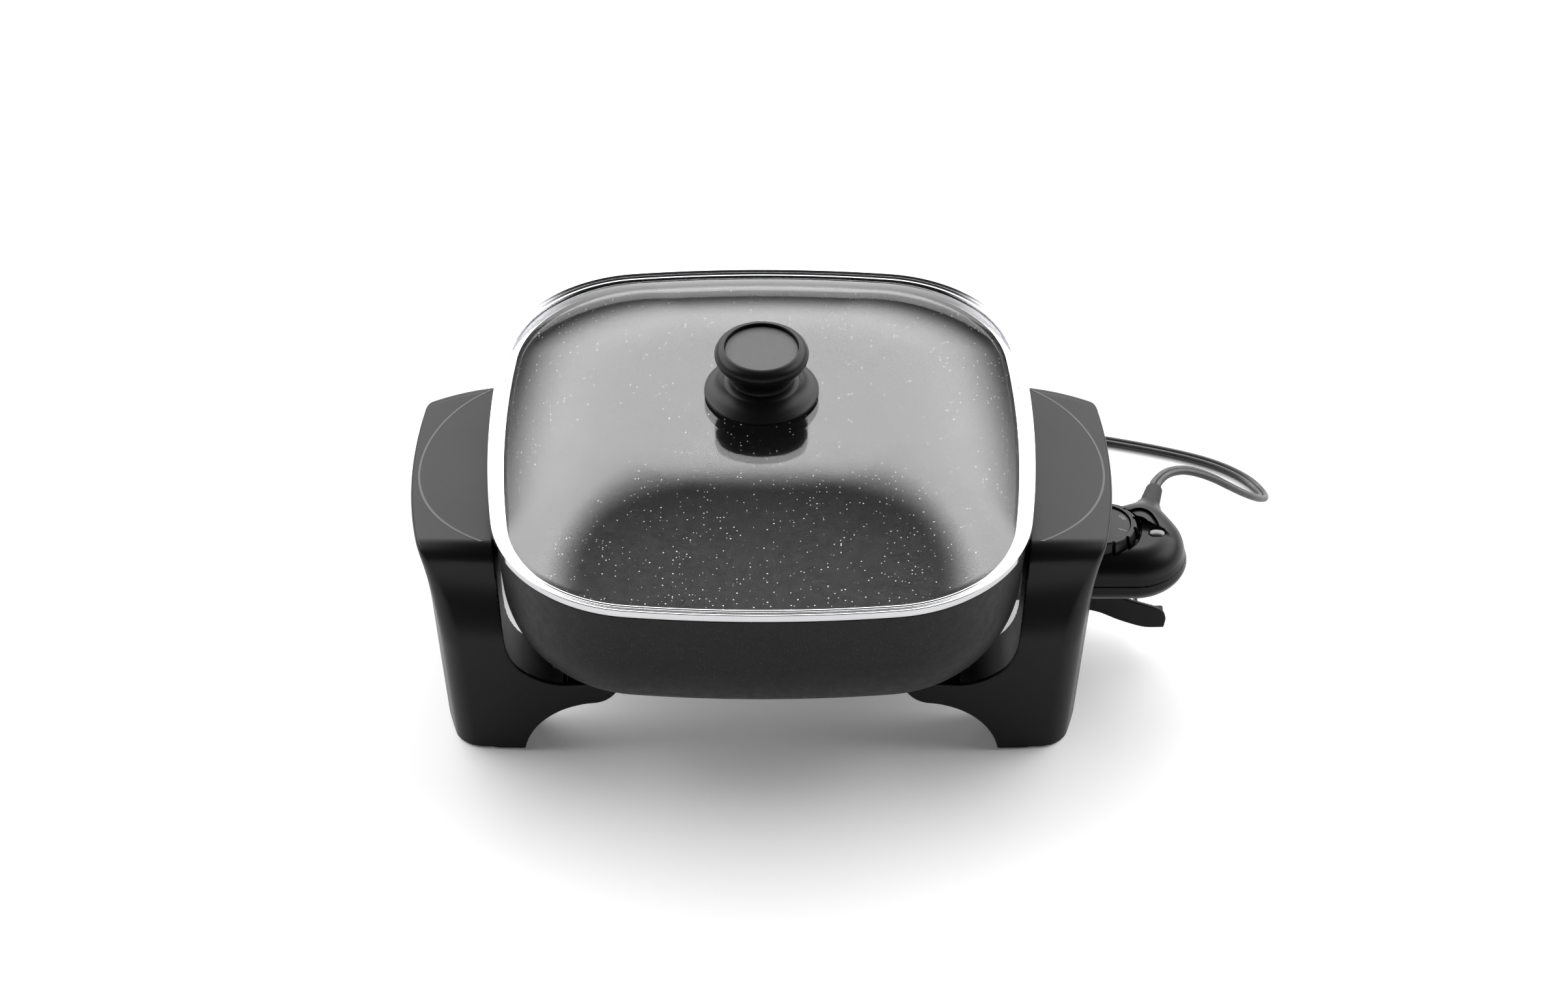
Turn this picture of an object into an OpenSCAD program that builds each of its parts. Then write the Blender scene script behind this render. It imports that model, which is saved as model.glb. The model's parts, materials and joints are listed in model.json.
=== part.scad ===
// Square electric skillet: cast pan, domed glass lid, two moulded side frames
// that are handle and legs in one, and a plug-in temperature probe with its lead.
// Millimetres, +Z up. Everything is drawn about the pan's middle; seated() then moves it
// so that the origin is on the table, under the middle of skillet and probe together.

/* [Lid] */
// Width of the lid across its steel ring, left to right
lid_w = 320; // [306:1:326]
// Depth of the lid across its steel ring, front to back
lid_d = 322; // [308:1:328]
// How far each side of the outline bows out in its middle
side_bow = 18; // [14:0.5:22]
// Radius of the outline's four corners
corner_r = 88; // [86:0.5:94]
// Height of the steel ring
ring_h = 5.7; // [5.2:0.1:8]
// Width of the steel ring seen from above
ring_w = 6.4; // [5.6:0.1:8]
// Thickness of the glass
glass_t = 3.6; // [3:0.1:3.8]
// Rise of the glass above the ring
dome_rise = 33; // [26:0.5:40]

/* [Lid knob] */
// Outer radius of the knob's rim
knob_r = 27.4; // [25:0.1:32]
// Radius of the flared skirt under the knob
skirt_r = 33.3; // [31:0.1:38]
// Radius of the knob's neck
neck_r = 19; // [17:0.1:20]
// Height of the knob above the glass
knob_h = 33.5; // [32:0.5:40]
// Radius of the textured disc in the knob's top
cap_r = 21.5; // [19:0.1:22]

/* [Pan] */
// Height of the pan's rim above the table
rim_z = 154; // [150:0.5:160]
// Height of the pan's bottom edge above the table
pan_z = 58; // [57:0.5:60]
// Height of the cooking surface above the pan's bottom edge
floor_up = 15; // [14:0.5:18]
// Thickness of the pan's wall
wall_t = 3.8; // [3.2:0.1:5.5]
// Thickness of the pan's floor
floor_t = 4.6; // [4.2:0.1:5.5]
// Radius of the pan's outer bottom edge
base_round = 62; // [58:0.5:64]
// Radius of the pan's inner bottom edge
inner_round = 45; // [40:0.5:48]
// Draft of the pan's wall, in degrees
draft = 5.3; // [4:0.1:6]

/* [Side frames] */
// Half the length of a grip over its front and back faces
grip_y = 82; // [78:0.5:86]
// Half the distance over the legs' front and back faces at the foot
foot_y = 98; // [94:0.5:104]
// Width of a grip, from its inner edge to its outermost edge
grip_w = 47; // [42:0.5:52]
// Height of the grip's top at its inner edge
grip_z = 138.6; // [134:0.5:142]
// How far a grip's inner edge stands outside the lid's side
side_gap = 0; // [-1:0.5:3]
// Thickness of the moulded walls
shell_t = 3; // [2.4:0.1:3.4]
// Height of the underside of the grip's skirt
skirt_z = 104; // [100:0.5:108]
// Half the gap between a frame's front and back leg
leg_gap = 63; // [60:0.5:66]
// How far a foot reaches in under the pan, from the grip's inner edge
foot_reach = 20.6; // [18:0.2:24]
// Radius of the arch between a foot and its arm
arch_r = 41.5; // [38:0.5:44]
// Height of the arm's top, which carries the pan
arm_z = 51.4; // [50:0.2:52]
// Radius of the rounded edge over the grip's ends
edge_r = 12; // [9:0.5:14]
// Thickness of the inner liner
liner_t = 2.5; // [2:0.1:3]

/* [Probe] */
// Half the width of the probe's housing
house_hw = 33; // [30:0.5:36]
// Distance from the grip's inner edge to the centre of the housing's round end
house_out = 61; // [59:0.5:66]
// Height of the housing's underside
house_z0 = 56; // [54:0.5:57]
// Height of the housing's top
house_z1 = 88; // [86:0.5:90]
// Wall of the housing
house_t = 2.2; // [1.8:0.1:2.6]
// Height of the probe rod and the contacts
rod_z = 66; // [65.5:0.1:66.5]
// Diameter of the probe rod
rod_d = 6; // [5:0.1:6.4]
// Distance between the two terminal pins
pin_pitch = 34; // [32:0.2:36]
// Diameter of a terminal pin
pin_d = 5; // [4.4:0.1:5.4]
// Distance of the dial's axis back from the centre of the housing's round end
dial_back = 17.8; // [16:0.2:20]
// Radius of the dial's ring at its foot
dial_r = 22; // [20.5:0.1:22.4]
// Height of the dial's ring
dial_h = 9.7; // [8:0.1:10]
// Number of grip segments round the dial
dial_ribs = 12; // [10:1:14]

/* [Cord] */
// Width of the flat twin cord
cord_w = 7.4; // [6.8:0.1:7.6]
// Thickness of the flat twin cord
cord_t = 4; // [3.6:0.1:4.2]
// Radius of the coil's outer turn at the cord's centre
coil_r = 48; // [46:0.5:52]

/* [Hidden] */

// Clearances
lid_gap = 0.3;      // lid above the pan's rim
fit_gap = 0.06;     // running fit, on the radius
part_gap = 0.35;    // between neighbouring pieces that don't run on each other
cast_gap = 0.1;     // round what is cast or staked into the pan

// Outline of the lid: four bowed sides and four corner arcs
half_w = lid_w / 2;
half_d = lid_d / 2;
inner_x = half_w + side_gap;        // a grip's inner edge
grip_x = inner_x + grip_w;          // a grip's outermost edge
foot_in = inner_x - foot_reach;     // a foot's inner edge
house_x0 = inner_x + 8;             // the probe housing's flat end
house_x = inner_x + house_out;
dial_x = house_x - dial_back;
far = 2 * lid_w;                    // reach of shapes that only cut
side_R = (half_d * half_d + side_bow * side_bow) / (2 * side_bow);
end_R = (half_w * half_w + side_bow * side_bow) / (2 * side_bow);
side_c = [half_w - side_R, 0];
end_c = [0, half_d - end_R];
link = end_c - side_c;
link_l = norm(link);
link_a = ((side_R - corner_r) ^ 2 - (end_R - corner_r) ^ 2 + link_l ^ 2) / (2 * link_l);
link_h = sqrt((side_R - corner_r) ^ 2 - link_a ^ 2);
corner_c = side_c + link_a * link / link_l + link_h * [-link[1], link[0]] / link_l;
side_ang = atan2(corner_c[1], corner_c[0] - side_c[0]);
end_ang = atan2(corner_c[1] - end_c[1], corner_c[0]);
flat_in = corner_r - 4;     // inset up to which a profile is swept
core_in = corner_r - 6;     // inset of the core that closes the middle

// The whole reaches further right than left, because the probe stands out
centre_x = (house_x + house_hw - grip_x) / 2;
module seated() { translate([-centre_x, 0, 0]) children(); }

function arc(c, r, a0, a1, n) =
    [for (i = [0:n]) c + r * [cos(a0 + (a1 - a0) * i / n), sin(a0 + (a1 - a0) * i / n)]];

// Points of the outline at a constant inset, one quarter mirrored round
function outline_quarter(inset, n) = concat(
    [for (i = [0:n - 1]) side_c + (side_R - inset) * [cos(side_ang * i / n), sin(side_ang * i / n)]],
    arc(corner_c, corner_r - inset, side_ang, end_ang, n),
    [for (i = [1:n]) end_c + (end_R - inset) * [
        cos(end_ang + (90 - end_ang) * i / n), sin(end_ang + (90 - end_ang) * i / n)]]);
function flip(points, sx, sy) = [for (p = points) [p[0] * sx, p[1] * sy]];
function backwards(points) = [for (i = [len(points) - 1:-1:0]) points[i]];
function outline(inset, n = 4) = let (q = outline_quarter(inset, n)) concat(
    q, backwards(flip(q, -1, 1)), flip(q, -1, -1), backwards(flip(q, 1, -1)));

// Sweeps a profile, drawn as (inset from the outline, height), round the outline
module sweep_outline() {
    for (k = [0, 1]) {
        rotate([0, 0, 180 * k]) translate(side_c)
            rotate_extrude(angle = 2 * side_ang, start = -side_ang, $fn = 240)
                translate([side_R, 0]) mirror([1, 0]) children();
        rotate([0, 0, 180 * k]) translate(end_c)
            rotate_extrude(angle = 2 * (90 - end_ang), start = end_ang, $fn = 240)
                translate([end_R, 0]) mirror([1, 0]) children();
    }
    sweep_corners(0) children();
}

// Only the four corners; with some degrees more at each end they tie the sides together
module sweep_corners(more) {
    for (k = [0, 1], m = [0, 1])
        rotate([0, 0, 180 * k]) mirror([m, 0, 0]) translate(corner_c)
            rotate_extrude(angle = end_ang - side_ang + 2 * more, start = side_ang - more, $fn = 120)
                translate([corner_r, 0]) mirror([1, 0]) children();
}

// ---- Pan ----
pan_in = 2.2;               // inset of the pan's rim from the lid's outline
tilt = tan(draft);
outer_cz = pan_z + base_round;
outer_ci = pan_in + tilt * (rim_z - outer_cz) + base_round / cos(draft);
floor_z = pan_z + floor_up;
inner_cz = floor_z + inner_round;
inner_ci = pan_in + wall_t + tilt * (rim_z - inner_cz) + inner_round / cos(draft);
under_z = floor_z - floor_t;
ledge = 6;                  // width of the flat edge that the pan's underside stands on
recess = 3;                 // slope from that edge up to the floor's underside
ridge_r = 72;               // radius of the ring that holds the element
ridge_w = 13;
element_d = 8;
element_z = rod_z;
boss_x = inner_x - 52;      // pan bosses over the frames' arms
boss_y = 80;
boss_d = 16;
spacer_t = 2.6;
seat_h = 9;                 // height of the frame's seat under a boss
thread_h = 11;              // depth of the screw hole in a boss
frame_screw_d = 4;
lug_x = inner_x - 28;       // face of the cast lug behind the terminal guard
lug_hw = 36;
lug_z0 = pan_z;
lug_z1 = floor_z - 1;
bush_d = 10;
bush_x0 = lug_x - 10;
bush_x1 = lug_x + 2.4;
element_end = bush_x0;
elbow_r = 14;
pin_y = pin_pitch / 2;
// The element's ring meets its two straight ends in elbows outside the ring
elbow_a = asin((pin_y + elbow_r) / (ridge_r + elbow_r));
elbow_c = (ridge_r + elbow_r) * [cos(elbow_a), sin(elbow_a)];
rod_x0 = lug_x - 50;        // tip of the probe rod inside the pan's casting

module pan_profile() {
    outer = arc([outer_ci, outer_cz], base_round, 180 + draft, 270, 14);
    inner = arc([inner_ci, inner_cz], inner_round, 270, 180 + draft, 12);
    polygon(concat(
        [[pan_in, rim_z]], outer,
        [[outer_ci + ledge, pan_z], [outer_ci + ledge + recess, under_z],
         [flat_in, under_z], [flat_in, floor_z]],
        inner, [[pan_in + wall_t, rim_z]]));
}

// The element's bent tube; more lengthens the ring and the straight ends into the elbows
module element_shape(d, x1, more) {
    translate([0, 0, element_z]) {
        rotate([0, 0, elbow_a - more])
            rotate_extrude(angle = 360 - 2 * (elbow_a - more), start = 0, $fn = 120)
                translate([ridge_r, 0]) circle(d = d, $fn = 32);
        for (s = [0, 1]) mirror([0, s, 0]) {
            translate(elbow_c) rotate_extrude(angle = 90 - elbow_a, start = 180 + elbow_a, $fn = 96)
                translate([elbow_r, 0]) circle(d = d, $fn = 32);
            translate([elbow_c[0] - more, pin_y, 0]) rotate([0, 90, 0])
                cylinder(d = d, h = x1 - elbow_c[0] + more, $fn = 32);
        }
    }
}

module pan() {
    color([0.16, 0.16, 0.17]) seated()
    difference() {
        union() {
            sweep_outline() pan_profile();
            translate([0, 0, under_z]) linear_extrude(floor_t) polygon(outline(core_in));
            // ridge cast round the element
            translate([0, 0, element_z - element_d / 2 + 1])
                difference() {
                    cylinder(r = ridge_r + ridge_w / 2, h = under_z - element_z + element_d / 2, $fn = 120);
                    translate([0, 0, -1])
                        cylinder(r = ridge_r - ridge_w / 2, h = 20, $fn = 120);
                }
            // lug that the terminals and the probe rod come out of
            translate([elbow_c[0] - 6, -lug_hw, lug_z0])
                cube([lug_x - elbow_c[0] + 6, 2 * lug_hw, lug_z1 - lug_z0]);
            translate([lug_x - 6, -lug_hw, lug_z0])
                cube([6, 2 * lug_hw, guard_top + 2 * part_gap - lug_z0]);
            translate([rod_x0 - 8, -rod_d, rod_z - rod_d])
                cube([elbow_c[0] - rod_x0 + 8, 2 * rod_d, under_z - rod_z + rod_d + 1]);
            for (sx = [-1, 1], sy = [-1, 1])
                translate([sx * boss_x, sy * boss_y, arm_z + spacer_t])
                    cylinder(d = boss_d, h = pan_z - arm_z - spacer_t + 6, $fn = 48);
        }
        // room for the guard where it passes the pan's rounded edge
        translate([lug_x, -guard_hw - part_gap, lug_z0 - 1])
            cube([lug_x, 2 * (guard_hw + part_gap), guard_top + part_gap - lug_z0 + 1]);
        element_shape(element_d + 2 * cast_gap, element_end, 0);
        for (s = [-1, 1]) translate([element_end - 1, s * pin_y, rod_z]) rotate([0, 90, 0])
            cylinder(d = bush_d + 2 * cast_gap, h = lug_x - element_end + 2, $fn = 48);
        translate([rod_x0 - 2, 0, rod_z]) rotate([0, 90, 0])
            cylinder(d = rod_d + 2 * fit_gap, h = lug_x - rod_x0 + 3, $fn = 48);
        for (s = [-1, 1]) translate([lug_x - guard_screw_l, s * guard_screw_y, rod_z])
            rotate([0, 90, 0]) cylinder(d = guard_screw_d, h = guard_screw_l + 1, $fn = 32);
        for (sx = [-1, 1], sy = [-1, 1])
            translate([sx * boss_x, sy * boss_y, arm_z + spacer_t - 1])
                cylinder(d = frame_screw_d, h = thread_h + 1, $fn = 32);
    }
}

module heating_element() {
    color([0.55, 0.54, 0.52]) seated() {
        element_shape(element_d, element_end, 0);
        // a thinner core inside ties the tube's arcs together
        element_shape(element_d - 3, element_end - 2, 1.5);
    }
}

module terminal_pins() {
    color([0.8, 0.8, 0.8]) seated()
    for (s = [-1, 1]) translate([element_end, s * pin_y, rod_z]) rotate([0, 90, 0]) {
        cylinder(d = pin_d, h = pin_x1 - element_end - 1.5, $fn = 40);
        translate([0, 0, pin_x1 - element_end - 1.5])
            cylinder(d1 = pin_d, d2 = pin_d - 2, h = 1.5, $fn = 40);
    }
}

module terminal_bushes() {
    color([0.93, 0.91, 0.86]) seated()
    for (s = [-1, 1]) translate([bush_x0, s * pin_y, rod_z]) rotate([0, 90, 0])
        difference() {
            cylinder(d = bush_d, h = bush_x1 - bush_x0, $fn = 48);
            translate([0, 0, -1]) cylinder(d = pin_d, h = 20, $fn = 40);
        }
}

// ---- Terminal guard: a sheet-steel sleeve bolted to the pan's lug ----
guard_x1 = lug_x + 24;
guard_hw = 26;
guard_hh = 10.7;
guard_top = rod_z + guard_hh;
guard_t = 1;
guard_screw_y = 31;
guard_screw_d = 3;
guard_screw_l = 8;
pin_x1 = lug_x + 18;

module terminal_guard() {
    color([0.72, 0.72, 0.72]) seated()
    difference() {
        union() {
            translate([lug_x, -guard_hw, rod_z - guard_hh])
                cube([guard_x1 - lug_x, 2 * guard_hw, 2 * guard_hh]);
            translate([lug_x, -lug_hw, rod_z - 7]) cube([guard_t + 0.2, 2 * lug_hw, 13]);
        }
        translate([lug_x - 1, -guard_hw + guard_t, rod_z - guard_hh + guard_t])
            cube([guard_x1, 2 * (guard_hw - guard_t), 2 * (guard_hh - guard_t)]);
        for (s = [-1, 1]) translate([lug_x - 1, s * guard_screw_y, rod_z]) rotate([0, 90, 0])
            cylinder(d = guard_screw_d + 0.4, h = 6, $fn = 32);
    }
}

module screw(d, l, head_d, head_h) {
    cylinder(d = d, h = l, $fn = 32);
    difference() {
        translate([0, 0, -head_h]) cylinder(d1 = head_d - 1, d2 = head_d, h = head_h, $fn = 40);
        for (a = [0, 90]) rotate([0, 0, a])
            translate([-head_d / 3, -0.45, -head_h - 1]) cube([2 * head_d / 3, 0.9, 1 + head_h * 0.6]);
    }
}

module guard_screws() {
    color([0.75, 0.75, 0.75]) seated()
    for (s = [-1, 1]) translate([lug_x + guard_t + 0.2, s * guard_screw_y, rod_z]) rotate([0, -90, 0])
        screw(guard_screw_d, guard_screw_l, 2 * guard_screw_d, 2);
}

// ---- Side frames, drawn on the right and mirrored for the left ----
face_R = 300;               // the front and back faces bow gently in plan
face_x = inner_x - 32;      // where the bow's axis stands
wall_R = 320;               // plan radius of the outer wall
flare_lo = 75;              // the faces flare from the grip down to this height
crown_R = 213;              // crown of the grip's top, across the grip
crown_x = inner_x - 10;
knee_z = 88;                // the outer wall leans out more above this height
knee_x = grip_x - 7.6;
foot_x = grip_x - 14.6;
flare_hi = grip_z - edge_r;
crown_edge = grip_z - crown_R + sqrt(crown_R ^ 2 - (grip_x - crown_x) ^ 2);
lean = (knee_x - foot_x) / knee_z;
lean_more = (grip_x - knee_x - lean * (crown_edge - knee_z)) / (crown_edge - knee_z) ^ 2;

function face_y(z) = z <= flare_lo ? foot_y : z >= flare_hi ? grip_y :
    grip_y + (foot_y - grip_y) * (1 + cos(180 * (z - flare_lo) / (flare_hi - flare_lo))) / 2;
function wall_x(z) = foot_x + lean * z + (z > knee_z ? lean_more * (z - knee_z) ^ 2 : 0);

// A body of revolution whose rim is one end face of the frame
module end_face(t) {
    flare = [for (i = [0:9]) let (z = flare_lo + (flare_hi - flare_lo) * i / 9)
        [face_R - foot_y + face_y(z) - t, z]];
    r_edge = face_R - foot_y + grip_y - edge_r;
    round_over = arc([r_edge, flare_hi], edge_r - t, 10, 90, 8);
    translate([face_x, face_R - foot_y, 0]) rotate_extrude($fn = 360)
        polygon(concat([[0, -2], [face_R - t, -2]], flare, round_over, [[0, grip_z - t]]));
}

// A body of revolution whose rim is the frame's outer wall
module outer_wall(t) {
    top = grip_z + 4;
    wall = concat([[wall_x(0) - t, -2]],
        [for (i = [0:6]) let (z = knee_z + (top - knee_z) * i / 6) [wall_x(z) - t, z]]);
    axis_x = grip_x - wall_R;
    translate([axis_x, 0, 0]) rotate_extrude($fn = 360)
        polygon(concat([[0, -2]], [for (p = wall) [p[0] - axis_x, p[1]]], [[0, top]]));
}

module crown(t) {
    translate([crown_x, far / 2, grip_z - crown_R]) rotate([90, 0, 0])
        cylinder(r = crown_R - t, h = far, $fn = 360);
}

// What lies inside the frame's skin, t below it
module frame_skin(t) {
    intersection() {
        end_face(t);
        mirror([0, 1, 0]) end_face(t);
        outer_wall(t);
        crown(t);
    }
}

// Inner edge of the frame's front view, which follows the pan; o moves it off the pan
sweep_r = 32;
sweep_c = [inner_x - 40.6, arm_z + sweep_r];
sweep_tilt = 10.5;
arm_bottom = 35.5;
function inner_edge(o) = concat(
    [[sweep_c[0], arm_z - o]],
    arc(sweep_c, sweep_r + o, -84, -sweep_tilt, 10),
    [[inner_x + o, inner_x_z], [inner_x + o, far]]);
inner_x_z = sweep_c[1] + (inner_x - sweep_c[0] - sweep_r / cos(sweep_tilt)) / tan(sweep_tilt);

arch_c = [foot_in - sqrt(arch_r ^ 2 - (arm_bottom - arch_r) ^ 2), arm_bottom - arch_r];
arm_end_r = (arm_z - arm_bottom);

// Extrudes a front view, drawn as (x, z), right through from back to front
module front_cut() {
    translate([0, far / 2, 0]) rotate([90, 0, 0]) linear_extrude(far) children();
}

module front_view() {
    front_cut()
        polygon(concat(
            [[far, foot_up], [foot_in, foot_up]],
            arc(arch_c, arch_r, asin(-arch_c[1] / arch_r) + 5, 90, 9),
            arc([arch_c[0], arm_z], arm_end_r, 265, 180, 7),
            inner_edge(0), [[far, far]]));
}

// Side view: a grip all along, and a leg at each end
opening_r = 18;             // corner radius of the opening between the legs
module side_view() {
    r = opening_r;
    translate([0, 0, 0]) rotate([90, 0, 90]) linear_extrude(far)
        polygon(concat(
            [[-far, -2], [-leg_gap, -2]], arc([r - leg_gap, skirt_z - r], r, 180, 90, 6),
            arc([leg_gap - r, skirt_z - r], r, 90, 0, 6),
            [[leg_gap, -2], [far, -2], [far, far], [-far, far]]));
}

module frame_shape() {
    difference() {
        intersection() {
            frame_skin(0);
            front_view();
            side_view();
        }
        // hollow inside, open below, towards the pan and at the foot
        intersection() {
            frame_skin(shell_t);
            union() {
                for (s = [0, 1]) mirror([0, s, 0])
                    translate([0, leg_gap + shell_t, -3]) cube(far);
                translate([0, -leg_gap - shell_t - 1, skirt_z + shell_t])
                    cube([far, 2 * (leg_gap + shell_t + 1), far]);
                translate([0, opening_r - leg_gap, skirt_z - 5])
                    cube([far, 2 * (leg_gap - opening_r), far]);
            }
            front_cut()
                polygon([[far, -3], [0, -3], [0, arm_z - shell_t], [lip_x - 2, arm_z - shell_t],
                    [lip_x - 2, far], [far, far]]);
        }
        // pocket for the liner
        intersection() {
            frame_skin(shell_t);
            liner_band(-2, liner_in + liner_t + part_gap);
        }
        for (s = [-1, 1]) translate([boss_x, s * boss_y, arm_z - seat_h - 1])
            cylinder(d = frame_screw_d + 0.4, h = seat_h + 2, $fn = 32);
        inlay_shape(inlay_w + 0.1, inlay_t + 0.1, 1);
    }
    // ledges that the liner's lips are screwed to
    intersection() {
        frame_skin(shell_t / 2);
        for (s = [0, 1]) mirror([0, s, 0]) difference() {
            translate([lip_x - 6, leg_gap + 1, ledge_z - shell_t])
                cube([16, foot_y - leg_gap - 3, shell_t]);
            translate([liner_screw_x, boss_y, ledge_z - shell_t - 1])
                cylinder(d = liner_screw_d, h = shell_t + 2, $fn = 24);
        }
    }
    // foot sockets: floors that close the legs just above the rubber feet
    intersection() {
        frame_skin(shell_t / 2);
        for (s = [0, 1]) mirror([0, s, 0]) difference() {
            translate([foot_in + 0.5, leg_gap + 1, foot_floor])
                cube([grip_w + foot_reach, foot_y - leg_gap, shell_t]);
            translate([foot_cx, foot_cy, foot_floor - 1])
                cylinder(d = foot_plug_d, h = shell_t + 2, $fn = 32);
        }
    }
    // seats under the pan's bosses
    for (s = [-1, 1]) translate([boss_x, s * boss_y, arm_z - seat_h])
        difference() {
            cylinder(d = boss_d - 2, h = seat_h, $fn = 40);
            translate([0, 0, -1]) cylinder(d = frame_screw_d + 0.4, h = seat_h + 2, $fn = 32);
        }
}

module right_frame() { color([0.09, 0.09, 0.09]) seated() frame_shape(); }
module left_frame() { color([0.09, 0.09, 0.09]) seated() mirror([1, 0, 0]) frame_shape(); }

// Liner: follows the pan a little way back from the frame's edge
liner_in = 1.2;
lip_x = inner_x - 44;
ledge_z = arm_z - liner_in - liner_t - part_gap;
liner_screw_x = inner_x - 39;
liner_screw_d = 2.6;

module liner_band(o0, o1) {
    front_cut()
        intersection() {
            polygon(concat(
                [[lip_x, arm_z - o0]], inner_edge(o0),
                backwards(inner_edge(o1)), [[lip_x, arm_z - o1]]));
            translate([lip_x, 0]) square([far, grip_z + 6]);
        }
}

module liner_shape() {
    difference() {
        intersection() {
            liner_band(liner_in, liner_in + liner_t);
            frame_skin(shell_t + part_gap);
            side_view();
        }
        for (s = [-1, 1]) translate([liner_screw_x, s * boss_y, ledge_z - 1]) {
            cylinder(d = liner_screw_d + 0.3, h = 10, $fn = 24);
            // flat seat for the screw's head
            translate([0, 0, arm_z - liner_in - ledge_z + 0.95])
                cylinder(d = 2 * liner_screw_d + 0.4, h = 8, $fn = 32);
        }
    }
}

module right_liner() { color([0.2, 0.2, 0.2]) seated() liner_shape(); }
module left_liner() { color([0.2, 0.2, 0.2]) seated() mirror([1, 0, 0]) liner_shape(); }

// Thin arc let into the top of each grip
inlay_c = inner_x - 40;
inlay_r = grip_w + 34.6;
inlay_w = 1.3;
inlay_t = 0.7;
inlay_proud = 0.1;
module inlay_shape(w, depth, proud) {
    intersection() {
        translate([inlay_c, 0, 0]) difference() {
            cylinder(r = inlay_r + w / 2, h = far, $fn = 240);
            translate([0, 0, -1]) cylinder(r = inlay_r - w / 2, h = far + 2, $fn = 240);
        }
        difference() {
            crown(-proud);
            crown(depth);
        }
        translate([inner_x + 0.6, edge_r - grip_y, 0]) cube([grip_w, 2 * (grip_y - edge_r), far]);
    }
}

module grip_inlays() {
    color([0.6, 0.6, 0.6]) seated()
    for (m = [0, 1]) mirror([m, 0, 0]) inlay_shape(inlay_w, inlay_t, inlay_proud);
}

// Rubber feet plugged into the legs
foot_up = 1;                // the moulding stops this far above the table
foot_floor = 4;
foot_cx = inner_x - 2;
foot_cy = leg_gap + 18;
foot_plug_d = 8;
module rubber_feet() {
    color([0.05, 0.05, 0.05]) seated()
    for (sx = [0, 1], sy = [0, 1]) mirror([sx, 0, 0]) mirror([0, sy, 0])
        translate([foot_cx, foot_cy, 0]) {
            translate([-14, -10, 0]) cube([28, 20, foot_floor - 0.1]);
            cylinder(d = foot_plug_d - 0.2, h = foot_floor + shell_t + 1, $fn = 32);
        }
}

module boss_spacers() {
    color([0.7, 0.7, 0.7]) seated()
    for (sx = [-1, 1], sy = [-1, 1]) translate([sx * boss_x, sy * boss_y, arm_z])
        difference() {
            cylinder(d = boss_d - 3, h = spacer_t, $fn = 40);
            translate([0, 0, -1]) cylinder(d = frame_screw_d + 0.3, h = 5, $fn = 32);
        }
}

module frame_screws() {
    color([0.7, 0.7, 0.7]) seated()
    for (sx = [-1, 1], sy = [-1, 1]) translate([sx * boss_x, sy * boss_y, arm_z - seat_h])
        screw(frame_screw_d, seat_h + spacer_t + thread_h - 2, 2 * frame_screw_d, 2.6);
}

module liner_screws() {
    color([0.6, 0.6, 0.6]) seated()
    for (sx = [-1, 1], sy = [-1, 1])
        translate([sx * liner_screw_x, sy * boss_y, ledge_z + liner_t + part_gap]) mirror([0, 0, 1])
            screw(liner_screw_d, liner_t + shell_t, 2 * liner_screw_d, 1);
}

// ---- Lid ----
ring_z0 = rim_z + lid_gap;
ring_z1 = ring_z0 + ring_h;
ring_t = 0.9;
glass_z0 = ring_z0 + ring_t + 0.05;
glass_z1 = glass_z0 + glass_t;
glass_top = ring_z1 + dome_rise;
dome_x0 = ring_w + 0.4;     // inset where the dome starts to rise
dome_x1 = core_in;          // inset where the dome has become flat
dome_w = dome_x1 - dome_x0;
dome_up = glass_top - glass_z1;
dome_R = (dome_w ^ 2 + dome_up ^ 2) / (2 * dome_up);
dome_c = [dome_x1, glass_top - dome_R];
dome_a = asin(dome_w / dome_R);
under_R = dome_R - glass_t;
under_a = acos((glass_z0 - dome_c[1]) / under_R);
bolt_d = 5;

module glass_profile() {
    top = arc(dome_c, dome_R, 90, 90 + dome_a, 16);
    under = arc(dome_c, under_R, 90 + under_a, 90, 16);
    polygon(concat(
        [[flat_in, glass_top]], top, [[ring_t + 0.3, glass_z1], [ring_t + 0.3, glass_z0]],
        under, [[flat_in, glass_top - glass_t]]));
}

module lid_glass() {
    color([0.8, 0.85, 0.86, 0.35]) seated()
    difference() {
        union() {
            sweep_outline() glass_profile();
            translate([0, 0, glass_top - glass_t]) linear_extrude(glass_t)
                polygon(outline((core_in + flat_in) / 2));
        }
        translate([0, 0, glass_top - 20]) cylinder(d = bolt_d + 1, h = 30, $fn = 40);
    }
}

ring_round = 2.4;
module ring_profile() {
    polygon(concat(
        [[0, ring_z0], [0, ring_z1 - ring_round]],
        arc([ring_round, ring_z1 - ring_round], ring_round, 165, 90, 5),
        [[ring_w, ring_z1], [ring_w, glass_z1 + 0.05], [ring_t + 0.1, glass_z1 + 0.05],
         [ring_t + 0.1, glass_z0 - 0.05], [9.4, glass_z0 - 0.05], [9.4, ring_z0 - 3.3],
         [8.5, ring_z0 - 3.3], [8.5, ring_z0]]));
}

module lid_ring() {
    color([0.78, 0.78, 0.78]) seated() {
        sweep_outline() ring_profile();
        sweep_corners(2) translate([0.3, ring_z0 + 0.25]) square([0.4, ring_h - ring_round - 0.6]);
        sweep_corners(2) translate([3, ring_z0 + 0.25]) square([4, 0.4]);
    }
}

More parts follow.
